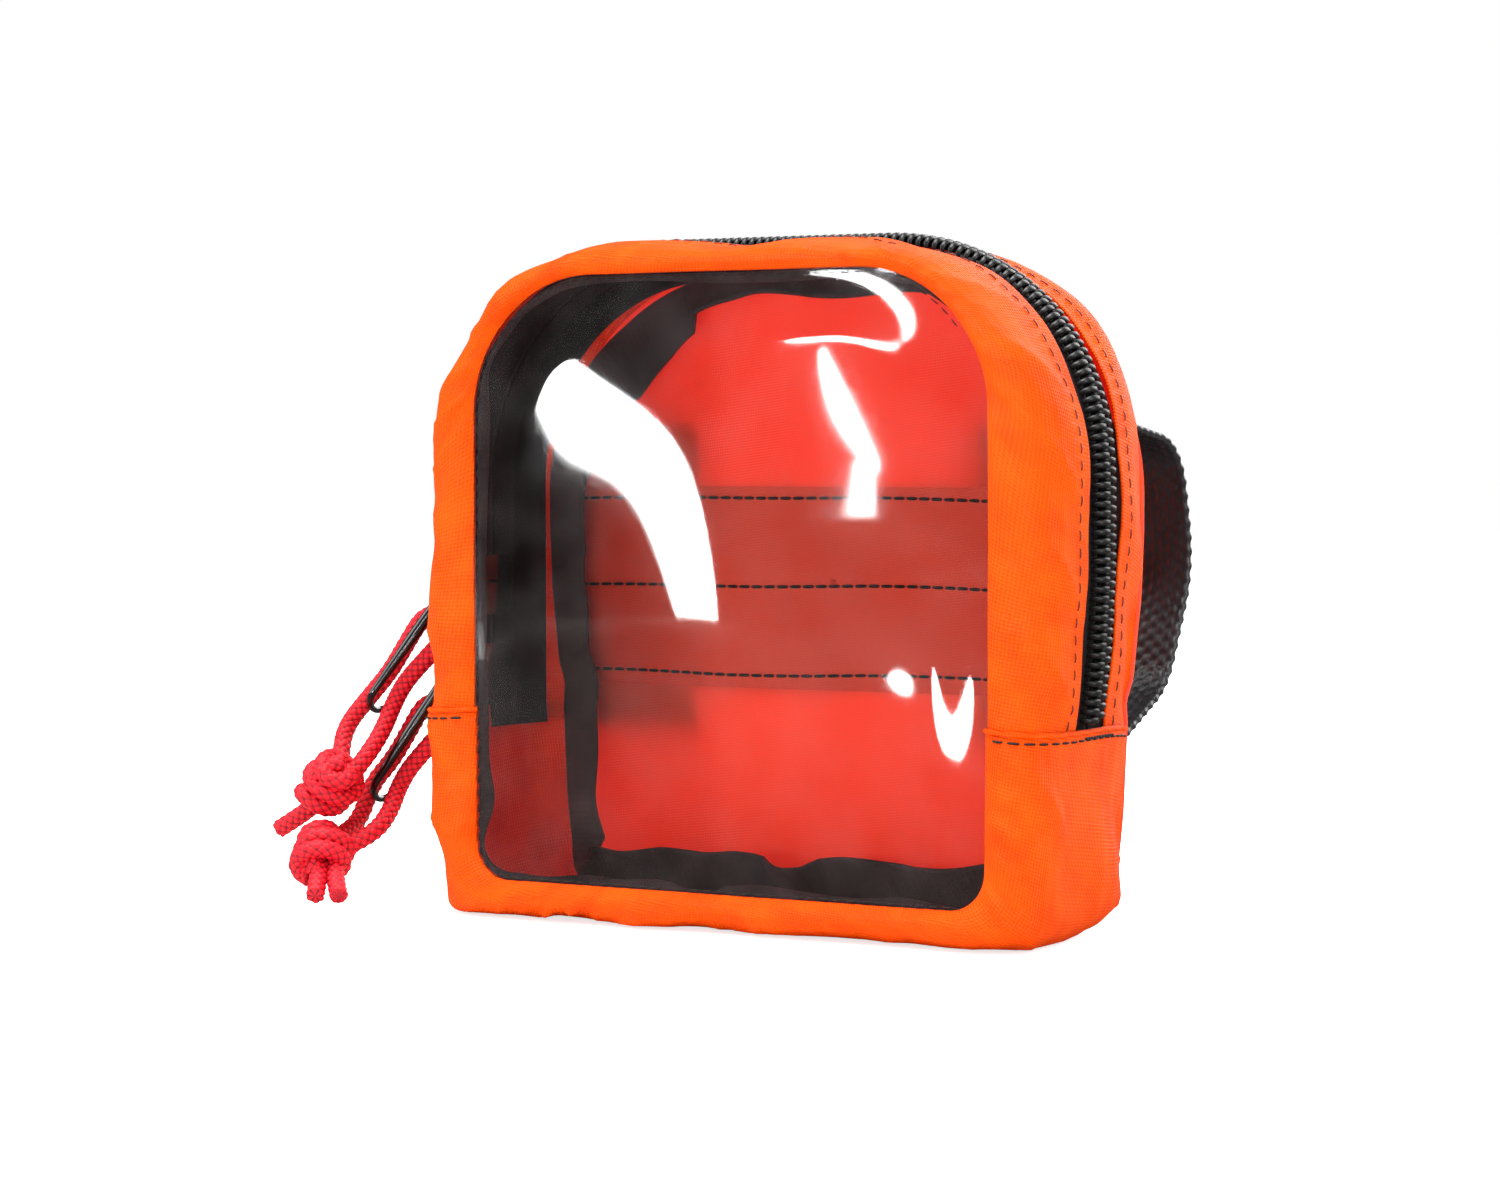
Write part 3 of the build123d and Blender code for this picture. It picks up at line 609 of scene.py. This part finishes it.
# Painted shade by height: the inner tone turns a little darker towards the top, and it also varies in
# random blotches.
height_range = [("From Min", 10.0), ("From Max", 112.0)]
up = add_node(tree, "ShaderNodeMapRange", height_range, [("Value", place.outputs[1])])
links = [(0, smudge.outputs[0]), (2, up.outputs[0])]
shade = add_node(tree, "ShaderNodeMath", [("operation", "MULTIPLY_ADD"), (1, 0.5)], links)
ramp = add_node(tree, "ShaderNodeValToRGB", (), [(0, shade.outputs[0])])
for stop, where, code in zip(ramp.color_ramp.elements, (0.25, 1.0), ("FF6A4A", "FF644C")):
    stop.position, stop.color = where, linear(code)
BAND_LOW, BAND_HIGH = 40.0, 77.0
band_edges = []
for test, where in (("GREATER_THAN", BAND_LOW), ("LESS_THAN", BAND_HIGH)):
    test = [("operation", test), (1, where)]
    band_edges.append(add_node(tree, "ShaderNodeMath", test, [(0, place.outputs[1])]))
links = [(0, band_edges[0].outputs[0]), (1, band_edges[1].outputs[0])]
in_band = add_node(tree, "ShaderNodeMath", [("operation", "MULTIPLY")], links).outputs[0]
weave = wave_height(tree, uv, 0.7, 0.7, 38.0)
soften = [("operation", "MULTIPLY_ADD"), (1, 0.13), (2, 0.5)]
weave_tone = add_node(tree, "ShaderNodeMath", soften, [(0, weave)]).outputs[0]
# Painted shade: where the doubled band lies behind the panel, the inner face takes darker reds that stand
# for the light the doubled cloth keeps out.
two_tones = [("data_type", "RGBA"), (6, linear("D03624")), (7, linear("FF5C42"))]
band_painted_shade = add_node(tree, "ShaderNodeMix", two_tones, [(0, weave_tone)])
links = [(0, in_band), (6, ramp.outputs[0]), (7, band_painted_shade.outputs[2])]
inner_tone = add_node(tree, "ShaderNodeMix", [("data_type", "RGBA")], links).outputs[2]
two_tones = [("data_type", "RGBA"), (6, linear(CLOTH_DARK)), (7, linear(CLOTH_LIGHT))]
outer_tone = add_node(tree, "ShaderNodeMix", two_tones, [(0, weave_tone)]).outputs[2]
sides = add_node(tree, "ShaderNodeNewGeometry")
facing = add_node(tree, "ShaderNodeSeparateXYZ", (), [(0, sides.outputs["True Normal"])])
backwards = [("operation", "GREATER_THAN"), (1, 0.0)]
outside = add_node(tree, "ShaderNodeMath", backwards, [(0, facing.outputs[1])])
links = [(0, outside.outputs[0]), (6, inner_tone), (7, outer_tone)]
skin = add_node(tree, "ShaderNodeMix", [("data_type", "RGBA")], links)
bump_size = [("Strength", 0.2), ("Distance", 0.0003)]
bumped = add_node(tree, "ShaderNodeBump", bump_size, [("Height", weave)])
gloss = [("Roughness", 0.6), ("Specular IOR Level", 0.2)]
links = [("Base Color", skin.outputs[2]), ("Normal", bumped.outputs[0])]
shader = add_node(tree, "ShaderNodeBsdfPrincipled", gloss, links)
lit = add_node(tree, "ShaderNodeBsdfTranslucent", (), [("Color", inner_tone)])
thin = add_node(tree, "ShaderNodeMapRange", [("To Min", 0.5), ("To Max", 0.1)], [("Value", in_band)])
links = [(0, thin.outputs[0]), (1, shader.outputs[0]), (2, lit.outputs[0])]
through = add_node(tree, "ShaderNodeMixShader", (), links)
tree.links.new(through.outputs[0], out_node.inputs[0])


def fan(outline, y, rings, relief, centre=(0, 60)):
    """A sheet inside a closed outline: rings shrink towards the centre, and each point moves in
    depth by relief(x, z, r), where r is its share of the way out."""
    r = np.linspace(0.003, 1, rings)[None, :, None]
    flat = np.array(centre) + r * (outline[:, None] - centre)
    depth = y + relief(flat[..., 0], flat[..., 1], np.broadcast_to(r[..., 0], flat.shape[:2]))
    return np.stack([flat[..., 0], depth, flat[..., 1]], 2), flat


def outline_inset(outline, inset):
    """A closed 2-D outline moved inwards by a distance that may vary along it."""
    step = unit(np.roll(outline, -1, 0) - np.roll(outline, 1, 0))
    normal = np.stack([-step[:, 1], step[:, 0]], 1)
    return outline + np.reshape(inset, (-1, 1)) * normal


def panel_relief(x, z, r):
    """Slow waves less a set-back, cut off at 0.3 mm outwards, that fade out at the seam."""
    fade = np.clip((1 - r) / 0.1, 0, 1)
    return fade * np.minimum(soft_noise(x, z * 0.7, ((40, 0.9), (18, 0.3)), 21) - 0.4, 0.3)


panel_points, flat = fan(outline_inset(back_line, -0.5), BACK_Y - 0.1, 50, panel_relief)
back_panel = thicken(grid("back_panel_cloth", panel_points, inner_made, closed_u=True, uv=flat), 0.4)
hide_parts("back_panel")
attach(back_panel, "bag")

gx, gz = np.meshgrid(np.linspace(-55.5, 55.5, 90), np.linspace(BAND_LOW, BAND_HIGH, 30), indexing="ij")
gy = 21.4 + soft_noise(gx, gz, ((30, 0.25), (12, 0.12)), 23)
band = thicken(grid("back_band_cloth", np.stack([gx, gy, gz], 2), orange), CLOTH)
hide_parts("back_reinforcement_band")
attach(band, "bag")
BAND_ROWS = (42.7, 58.7, 74.7)
x = np.linspace(-56, 56, 160)
for number, level_z in enumerate(BAND_ROWS):
    z = level_z + 0.6 * (0.5 * np.sin(x / 23 + number) + 0.25 * np.sin(x / 9))
    inner_y = BACK_Y + panel_relief(x, z, np.full(160, 0.85)) - 0.1
    for where, y, facing_y, gap, width in (
        ("inside", inner_y, -1.0, 0.2, 0.62),
        ("outside", np.full(160, 21.9), 1.0, 0.5, 0.4),
    ):
        line = np.stack([x, y, z], 1)
        name = f"band_stitches_{where}_{number}"
        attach(stitches(name, line, (0, facing_y, 0), thread, 2.4, gap, width), "bag")


# Seam bindings: black ribbed tape folded over the raw edges, inside the bag. The back one is wide
# and wavy; the front one stands in from the window seam, and hides behind it at the right. The
# ribs of grosgrain catch the light as fine lines across the tape.
grosgrain = woven("grosgrain", "060506", "4A4244", (1000.0, 1.1), 0.65, bump=0.5, spec=0.25)


def ribbon(name, outer, inner, thick, material):
    """A closed tape between two loops of 3-D points, with a thin rounded section: the 0.6th powers
    of a cosine across and of a sine through the thickness."""
    turn = np.linspace(0, 2 * np.pi, 20, endpoint=False)
    mid, half = (outer + inner) / 2, (outer - inner) / 2
    face = unit(np.cross(np.roll(mid, -1, 0) - np.roll(mid, 1, 0), half))
    wide = (np.sign(np.cos(turn)) * np.abs(np.cos(turn)) ** 0.6)[None, :, None]
    deep = (np.sign(np.sin(turn)) * np.abs(np.sin(turn)) ** 0.6)[None, :, None]
    points = mid[:, None] + wide * half[:, None] + thick / 2 * deep * face[:, None]
    uv = np.stack(np.broadcast_arrays(turn[None] * 3.0, along_lengths(mid)[:, None]), 2)
    return grid(name, points, material, closed_u=True, closed_v=True, uv=uv)


sway = soft_noise(LENGTH, LENGTH * 0, ((38, 1.5), (17, 0.9)), 31)
bx, bz = back_line.T
low_side, high_side = np.exp(-((bz / 6) ** 2)), np.exp(-(((bz - 117) / 8) ** 2))
left_corner = 6.0 * np.exp(-((bx + 48) ** 2 + (bz - 104) ** 2) / 500)
outer = outline_inset(back_line, 1.3)
width = 8.9 + 0.4 * sway + 1.0 * low_side - 3.2 * high_side * (bx > -30) + left_corner
inner = outline_inset(back_line, width)
at_side = np.clip((np.abs(bx) - 45) / 12, 0, 1)
outer = np.stack([outer[:, 0], 19.2 - 3.2 * at_side, outer[:, 1]], 1)
inner_y = 17.4 - 1.3 * np.abs(sway) - 3.5 * low_side - 2.2 * high_side - 1.6 * at_side
inner = np.stack([inner[:, 0], inner_y, inner[:, 1]], 1)
back_tape = ribbon("back_seam_tape", outer, inner, 1.3, grosgrain)
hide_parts("back_seam_binding")
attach(back_tape, "bag")
tucked = np.clip((window[:, 0] - 34) / 14, 0, 1)
outer = outline_inset(window, 0.4 - 1.8 * tucked)
inner = outline_inset(window, 1.6 + 0.2 * sway - 1.9 * tucked)
outer = np.stack([outer[:, 0], np.full(LOOP, -19.7), outer[:, 1]], 1)
inner = np.stack([inner[:, 0], -18.7 + 0.3 * sway, inner[:, 1]], 1)
front_tape = ribbon("front_seam_tape", outer, inner, 0.9, grosgrain)
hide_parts("front_seam_binding_lower", "front_seam_binding_upper")
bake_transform(front_tape)
inset = outline_inset(window, 0.9)
line = np.stack([inset[:, 0], np.full(LOOP, -20.5), inset[:, 1]], 1)
unseen = np.nonzero((window[:, 0] >= 46) & (window[:, 1] <= 104))[0]
line = np.roll(line, -unseen[-1] - 1, 0)[: LOOP - len(unseen)]
window_row = stitches("window_seam_stitches", line, (0, -1.0, 0), thread, 1.7, 0.9, 0.24)
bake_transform(window_row)


# Window: clear flexible vinyl about half a millimetre thick, glossy, sewn in under slight tension
# so that it bulges a little in the middle. It is water-clear with faint milky scuffs, and mirrors
# more at a slant.
film_made, tree, out_node = new_material("clear_vinyl", "F4F6F6")
place = add_node(tree, "ShaderNodeUVMap", [("uv_map", "mm")]).outputs[0]
scuff = add_node(tree, "ShaderNodeTexNoise", [("Scale", 0.09), ("Detail", 4.0)], [("Vector", place)])
haze_range = [("From Min", 0.35), ("From Max", 0.75), ("To Min", 0.0), ("To Max", 0.014)]
haze = add_node(tree, "ShaderNodeMapRange", haze_range, [("Value", scuff.outputs[0])])
clear = add_node(tree, "ShaderNodeBsdfTransparent", [("Color", (0.97, 0.97, 0.97, 1))])
milky = add_node(tree, "ShaderNodeBsdfDiffuse", [("Color", (0.9, 0.88, 0.88, 1))])
gloss = add_node(tree, "ShaderNodeBsdfAnisotropic", [("Roughness", 0.03), ("Color", (1, 1, 1, 1))])
fresnel = add_node(tree, "ShaderNodeFresnel", [("IOR", 1.54)])
links = [(0, haze.outputs[0]), (1, clear.outputs[0]), (2, milky.outputs[0])]
body = add_node(tree, "ShaderNodeMixShader", (), links)
stronger = [("operation", "MULTIPLY"), (1, 1.1)]
mirror = add_node(tree, "ShaderNodeMath", stronger, [(0, fresnel.outputs[0])])
links = [(0, mirror.outputs[0]), (1, body.outputs[0]), (2, gloss.outputs[0])]
film_shader = add_node(tree, "ShaderNodeMixShader", (), links)
tree.links.new(film_shader.outputs[0], out_node.inputs[0])


def film_relief(x, z, r):
    """Slow waves and an outward bulge, both fading smoothly to nothing at the seam."""
    edge = np.clip((1 - r) / 0.24, 0, 1)
    edge = edge * edge * (3 - 2 * edge)
    slow = soft_noise(x * 1.0, z * 0.55, ((80, 0.35), (38, 0.10)), 12)
    bulge = -0.9 * (1 - (x / 53) ** 2) * (1 - ((z - 60) / 56) ** 2)
    return edge * (slow + bulge)


FILM_SEAM, FILM_Y = 1.2, -20.55  # what the seam takes up all round, and the film's depth
film_points, flat = fan(outline_inset(window, -FILM_SEAM), FILM_Y, 90, film_relief)
film = grid("window_film", film_points[::-1], film_made, closed_u=True, uv=flat[::-1])
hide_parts("window_film_lower", "window_film_upper")
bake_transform(film)


# Zipper: size 5 nylon coil on woven tape. Each element is a small bent loop of nylon, repeated
# along both sides of the chain half a pitch apart. The tape is flat black, the coil satin.
tape_cloth = woven("zipper_tape", "050405", "161314", (0.5, 0.9), 0.8, bump=0.1, spec=0.12, sheen=0.05)
coil_black = plain("zipper_coil", "0C0B0B", 0.42)
ZIP_MIDDLE_Y = 1.0


def zip_line(y, inset, low_z):
    """The zipper's path over the top at one depth, from the left hem to the right, in mm."""
    line = outline_inset(middle_line, inset)
    kept = middle_line[:, 1] > low_z
    start = np.nonzero(kept & ~np.roll(kept, 1))[0][0]
    run = np.roll(line, -start, 0)[: kept.sum()]
    return np.stack([run[:, 0], y + zipper_shift(run[:, 0], run[:, 1]), run[:, 1]], 1)


for name, node, low_y, high_y, foot in (
    ("front_zip_tape", "front_zipper_tape", -10.0, ZIP_MIDDLE_Y, 36.0),
    ("back_zip_tape", "back_zipper_tape", ZIP_MIDDLE_Y, 13.5, 31.0),
):
    depth = np.linspace(low_y, high_y, 12)
    tape_points = np.stack([zip_line(y, 1.2 + 0.9 * max(0, y - 9), foot) for y in depth], 1)
    tape = thicken(grid(name, tape_points, tape_cloth), 0.55)
    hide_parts(node)
    if name == "back_zip_tape":
        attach(tape, "bag")
    else:
        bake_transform(tape)

COIL_INSET, COIL_FOOT_Z = 1.0, 37.2
path = zip_line(ZIP_MIDDLE_Y, COIL_INSET, COIL_FOOT_Z)
length = running_length(path)
angle = np.linspace(0, 2 * np.pi, 6, endpoint=False)
COIL_PITCH = 1.58
# One loop: foot at the outer edge, over the top, to a head just past the middle; and its radii.
shape = np.array(
    [(2.9, 0.15), (2.95, 1.0), (2.3, 1.7), (1.2, 1.9), (0.1, 1.75), (-0.45, 1.15), (-0.35, 0.6)]
)
size = np.array([0.34, 0.44, 0.50, 0.50, 0.50, 0.54, 0.42])
for sign, name, first in ((-1, "front_coil", 0.5), (1, "back_coil", 0.5 + COIL_PITCH / 2)):
    places = np.arange(first, length[-1] - 0.5, COIL_PITCH)
    centre = at_lengths(places, length, path)
    ahead = unit(at_lengths(places + 0.5, length, path) - centre)
    out = np.cross(ahead, (0, 1.0, 0))
    out = np.where((out * (centre - INSIDE)).sum(1)[:, None] < 0, -out, out)
    line = centre[:, None] + sign * shape[:, :1] * (0, 1.0, 0) + shape[:, 1:] * out[:, None]
    line = line + np.linspace(-0.2, 0.2, 7)[:, None] * ahead[:, None]
    side = np.cross(unit(np.gradient(line, axis=1)), ahead[:, None])
    long_way = np.cos(angle)[:, None] * ahead[:, None, None] * 1.25
    ring = line[:, :, None] + size[:, None, None] * (long_way + np.sin(angle)[:, None] * side[:, :, None])
    uv = np.repeat(places, 7 * 6)[:, None] * (1, 1)
    coil = mesh(name, ring.reshape(-1, 3), tube_faces(len(places), 7, 6), uv, coil_black)
    if name == "back_coil":
        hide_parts("back_zipper_coil")
        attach(coil, "bag")
    else:
        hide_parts("front_zipper_coil")
        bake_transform(coil)


# Belt loops: 25 mm woven webbing bent into a D and sewn through the band. The weave stands up in
# rows of small humps, half a step apart in neighbouring columns, and its nylon glints.
webbing_black = woven("webbing", "08080A", "26262A", (0.4, 0.6), 0.34, bump=0.1, spec=0.6)


def rounded(corners, radii, step=0.45):
    """A closed path in a plane through corners rounded by arcs, in points about step mm apart."""
    corners = np.asarray(corners, float)
    out = []
    for i, radius in enumerate(radii):
        here, before, after = corners[i], corners[i - 1], corners[(i + 1) % len(corners)]
        a, b = unit(before - here), unit(after - here)
        half = math.acos(np.clip(a @ b, -1, 1)) / 2
        reach = radius / math.tan(half)
        centre = here + unit(a + b) * radius / math.sin(half)
        p, q = here + a * reach - centre, here + b * reach - centre
        total = math.acos(np.clip(p @ q / radius**2, -1, 1))
        t = np.linspace(0, 1, max(3, int(total * radius / step)))[:, None]
        out.append(centre + (np.sin((1 - t) * total) * p + np.sin(t * total) * q) / math.sin(total))
    out = np.concatenate(out)
    closed = np.concatenate([out, out[:1]])
    length = running_length(closed)
    even = np.arange(0, length[-1], step)
    return np.stack([np.interp(even, length, closed[:, k]) for k in range(2)], 1)


def flat_normals(path):
    """Directions square to a closed path in a plane."""
    step = unit(np.roll(path, -1, 0) - np.roll(path, 1, 0))
    return np.stack([step[:, 1], -step[:, 0]], 1)


LOOP_CORNERS = [(22.0, 30.2), (22.0, 89.3), (51.9, 84.9), (57.6, 62.2), (46.4, 41.0)]
LOOP_X, HUMP_WIDE, HUMP_LONG = 41.5, 1.6, 2.6
loop_path = rounded(LOOP_CORNERS, (2.5, 2.5, 12.5, 21.5, 15.5))
loop_normal = flat_normals(loop_path)
if (loop_normal * (loop_path - (38, 60))).sum() < 0:
    loop_normal = -loop_normal
run = along_lengths(loop_path)[:, None]
across = np.linspace(-12.5, 12.5, 64)
column = np.floor(across / HUMP_WIDE) % 2
hump = np.abs(np.sin(np.pi * across / HUMP_WIDE)) ** 0.7
hump = hump * np.abs(np.sin(np.pi * run / HUMP_LONG + np.pi / 2 * column)) ** 0.8
lip = 0.75 - 0.35 * np.clip((np.abs(across) - 11.8) / 0.7, 0, 1)
top = lip - 0.28 + 0.34 * hump
at_edge = np.clip((np.abs(across) - 11) / 1.5, 0, 1)
wide = across * (1 + 0.012 * np.sin(2 * np.pi * run / HUMP_LONG) * at_edge)
uv = np.stack(np.broadcast_arrays(np.concatenate([across, across[::-1] + 40]), run), 2)
for side, name in ((1, "right"), (-1, "left")):
    layers = []
    for sign, order in ((1, slice(None)), (-1, slice(None, None, -1))):
        offset = loop_path[:, None] + (sign * top)[..., None] * loop_normal[:, None]
        layer = np.stack([side * LOOP_X + wide, offset[..., 0], offset[..., 1]], 2)
        layers.append(layer[:, order])
    points = np.concatenate(layers, 1)
    name_full = f"belt_loop_{name}_webbing"
    webbing = grid(name_full, points, webbing_black, closed_u=True, closed_v=True, uv=uv)
    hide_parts(f"belt_loop_{name}")
    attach(webbing, "bag")
    x = np.linspace(side * LOOP_X - 12, side * LOOP_X + 12, 60)
    for number, level_z in enumerate(BAND_ROWS):
        line = np.stack([x, np.full(60, 22.95), np.full(60, level_z)], 1)
        row = stitches(f"loop_stitches_{name}_{number}", line, (0, 1.0, 0), thread, 2.2, 0.4, 0.45)
        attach(row, "bag")


# Sliders: die-cast metal bodies in gloss black enamel, one above the other on the chain. They are
# the model's own nodes, and a small bevel gives their edges the roundness of a painted casting.
enamel = plain("black_enamel", "0C0B0C", 0.16, metal=0.35, coat=0.8)
for level in ("upper", "lower"):
    for part in ("slider_body", "slider_crown"):
        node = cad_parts[f"{level}_{part}"]
        node.data.materials.clear()
        node.data.materials.append(enamel)
        soften = node.modifiers.new("soft_edges", "BEVEL")
        soften.width, soften.segments, soften.limit_method = 0.00025, 2, "ANGLE"

# Pulls: cast wire frames in the same enamel, 27 mm long, hung from the crown; thick rails thinning
# to the ring end, with a round bar at the top.
PULL_TILT = math.radians(12.0)
FRAME_CORNERS = [(0.0, -3.85), (26.4, -3.85), (26.4, 3.85), (0.0, 3.85)]
plan = rounded(FRAME_CORNERS, (0.9, 3.8, 3.8, 0.9), 0.35)
share = np.clip((plan[:, 0] - 9) / 17, 0, 1)
at_bar = (plan[:, 0] < 0.05) & (np.abs(plan[:, 1]) < 3.0)
wide = np.where(at_bar, 0.85, 0.9 - 0.32 * share)
deep = np.where(at_bar, 0.85, 1.08 - 0.45 * share)
around = np.linspace(0, 2 * np.pi, 20, endpoint=False)
cx = np.sign(np.cos(around)) * np.abs(np.cos(around)) ** 0.75
cy = np.sign(np.sin(around)) * np.abs(np.sin(around)) ** 0.75
in_plane = plan[:, None] + (wide[:, None] * cx[None])[..., None] * flat_normals(plan)[:, None]
for level, bar_z, swing in (("upper", 56.1, 35.0), ("lower", 39.9, 33.0)):
    a = math.radians(swing)
    down = (-math.sin(a), -math.cos(a) * math.sin(PULL_TILT), -math.cos(a) * math.cos(PULL_TILT))
    down = np.array(down)
    across_dir = np.array([0, math.cos(PULL_TILT), -math.sin(PULL_TILT)])
    outward = np.cross(across_dir, down)
    points = np.array([-70.7, 1.0, bar_z]) + in_plane[..., :1] * down + in_plane[..., 1:] * across_dir
    points = points + (deep[:, None] * cy[None])[..., None] * outward
    pull = grid(f"{level}_pull_frame", points, enamel, closed_u=True, closed_v=True)
    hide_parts(f"{level}_pull_tab")
    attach(pull, f"{level}_pull")


# Studio: pale floor that runs off into a pale surround, lights at the front left that show in the
# window, and soft light from above, both sides and behind. Mirrored rays see a darker floor and
# surround, as they would in a studio with dark flags.
floor_made, tree, out_node = new_material("floor", "F4F3F2")
rays = add_node(tree, "ShaderNodeLightPath")
two_tones = [("data_type", "RGBA"), (6, linear("F2F1F0")), (7, linear("5A5654"))]
tone = add_node(tree, "ShaderNodeMix", two_tones, [(0, rays.outputs["Is Glossy Ray"])])
shader = add_node(tree, "ShaderNodeBsdfDiffuse", (), [("Color", tone.outputs[2])])
share_lit = [("operation", "MULTIPLY"), (1, 0.72)]
lift = add_node(tree, "ShaderNodeMath", share_lit, [(0, rays.outputs["Is Camera Ray"])])
pale = add_node(tree, "ShaderNodeEmission", [("Color", (1, 1, 1, 1))], [("Strength", lift.outputs[0])])
total = add_node(tree, "ShaderNodeAddShader", (), [(0, shader.outputs[0]), (1, pale.outputs[0])])
tree.links.new(total.outputs[0], out_node.inputs[0])
gx, gy = np.meshgrid(np.linspace(-3000, 3000, 3), np.linspace(-3000, 3000, 3), indexing="ij")
floor = grid("floor", np.stack([gx, gy, 0 * gx - 0.05], 2), floor_made)
world = bpy.data.worlds.new("surround")
world.use_nodes = True
bpy.context.scene.world = world
tree = world.node_tree
tree.nodes.clear()
rays = add_node(tree, "ShaderNodeLightPath")
ends = [("To Min", 0.45), ("To Max", 1.0)]
seen = add_node(tree, "ShaderNodeMapRange", ends, [("Value", rays.outputs["Is Camera Ray"])])
links = [("Value", rays.outputs["Is Glossy Ray"]), ("To Min", seen.outputs[0])]
strength = add_node(tree, "ShaderNodeMapRange", [("To Max", 0.12)], links)
links = [("Strength", strength.outputs[0])]
bright = add_node(tree, "ShaderNodeBackground", [("Color", (1, 1, 1, 1))], links)
surround = tree.nodes.new("ShaderNodeOutputWorld")
tree.links.new(bright.outputs[0], surround.inputs[0])

UP = (0, 0, 1)
for name, place, target, size, power, long_way, shape in (
    (
        "window_leaf", (-0.492, -0.746, 0.051), (-0.02, -0.02, 0.07), (0.078, 0.185), 1.45,
        (0.045, 0, -0.122), "ELLIPSE",
    ),
    (
        "window_bar", (-0.350, -0.746, 0.169), (0.02, -0.02, 0.10), (0.076, 0.015), 0.105,
        (0.03, 0, 1), "ELLIPSE",
    ),
    (
        "window_strip", (-0.341, -0.746, 0.122), (0.02, -0.02, 0.09), (0.009, 0.078), 0.09,
        (0.030, 0, -0.052), "ELLIPSE",
    ),
    (
        "window_foot", (-0.327, -0.746, 0.080), (0.02, -0.02, 0.07), (0.008, 0.028), 0.028,
        UP, "RECTANGLE",
    ),
    (
        "window_dot", (-0.128, -0.355, 0.0165), (0.03, -0.02, 0.04), (0.009, 0.008), 0.006,
        UP, "ELLIPSE",
    ),
    (
        "window_hook", (-0.090, -0.355, 0.0115), (0.05, -0.02, 0.03), (0.014, 0.026), 0.032,
        (0.012, 0, -0.03), "ELLIPSE",
    ),
    ("top", (-0.10, -0.20, 1.0), (0, 0, 0.06), (0.9, 0.7), 22.0, UP, "RECTANGLE"),
    ("right", (0.95, -0.35, 0.40), (0, 0, 0.06), (0.5, 0.7), 5.6, UP, "RECTANGLE"),
    ("left", (-0.95, -0.50, 0.45), (0, 0, 0.06), (0.5, 0.7), 4.2, UP, "RECTANGLE"),
    ("rear", (0.15, 1.0, 0.55), (0, 0, 0.06), (1.0, 0.8), 12.0, UP, "RECTANGLE"),
):
    # An area light in metres that faces the target, with its own height along long_way.
    data = bpy.data.lights.new(name, "AREA")
    data.shape, data.size, data.size_y, data.energy = shape, *size, power
    light = bpy.data.objects.new(name, data)
    bpy.context.scene.collection.objects.link(light)
    away = (Vector(place) - Vector(target)).normalized()
    tall = (Vector(long_way) - away * away.dot(Vector(long_way))).normalized()
    light.location = place
    light.rotation_mode = "QUATERNION"
    light.rotation_quaternion = Matrix((tall.cross(away), tall, away)).transposed().to_quaternion()
scene = bpy.context.scene
scene.view_settings.view_transform = "Standard"
scene.view_settings.look = "None"
scene.cycles.max_bounces = 8
scene.cycles.transparent_max_bounces = 16
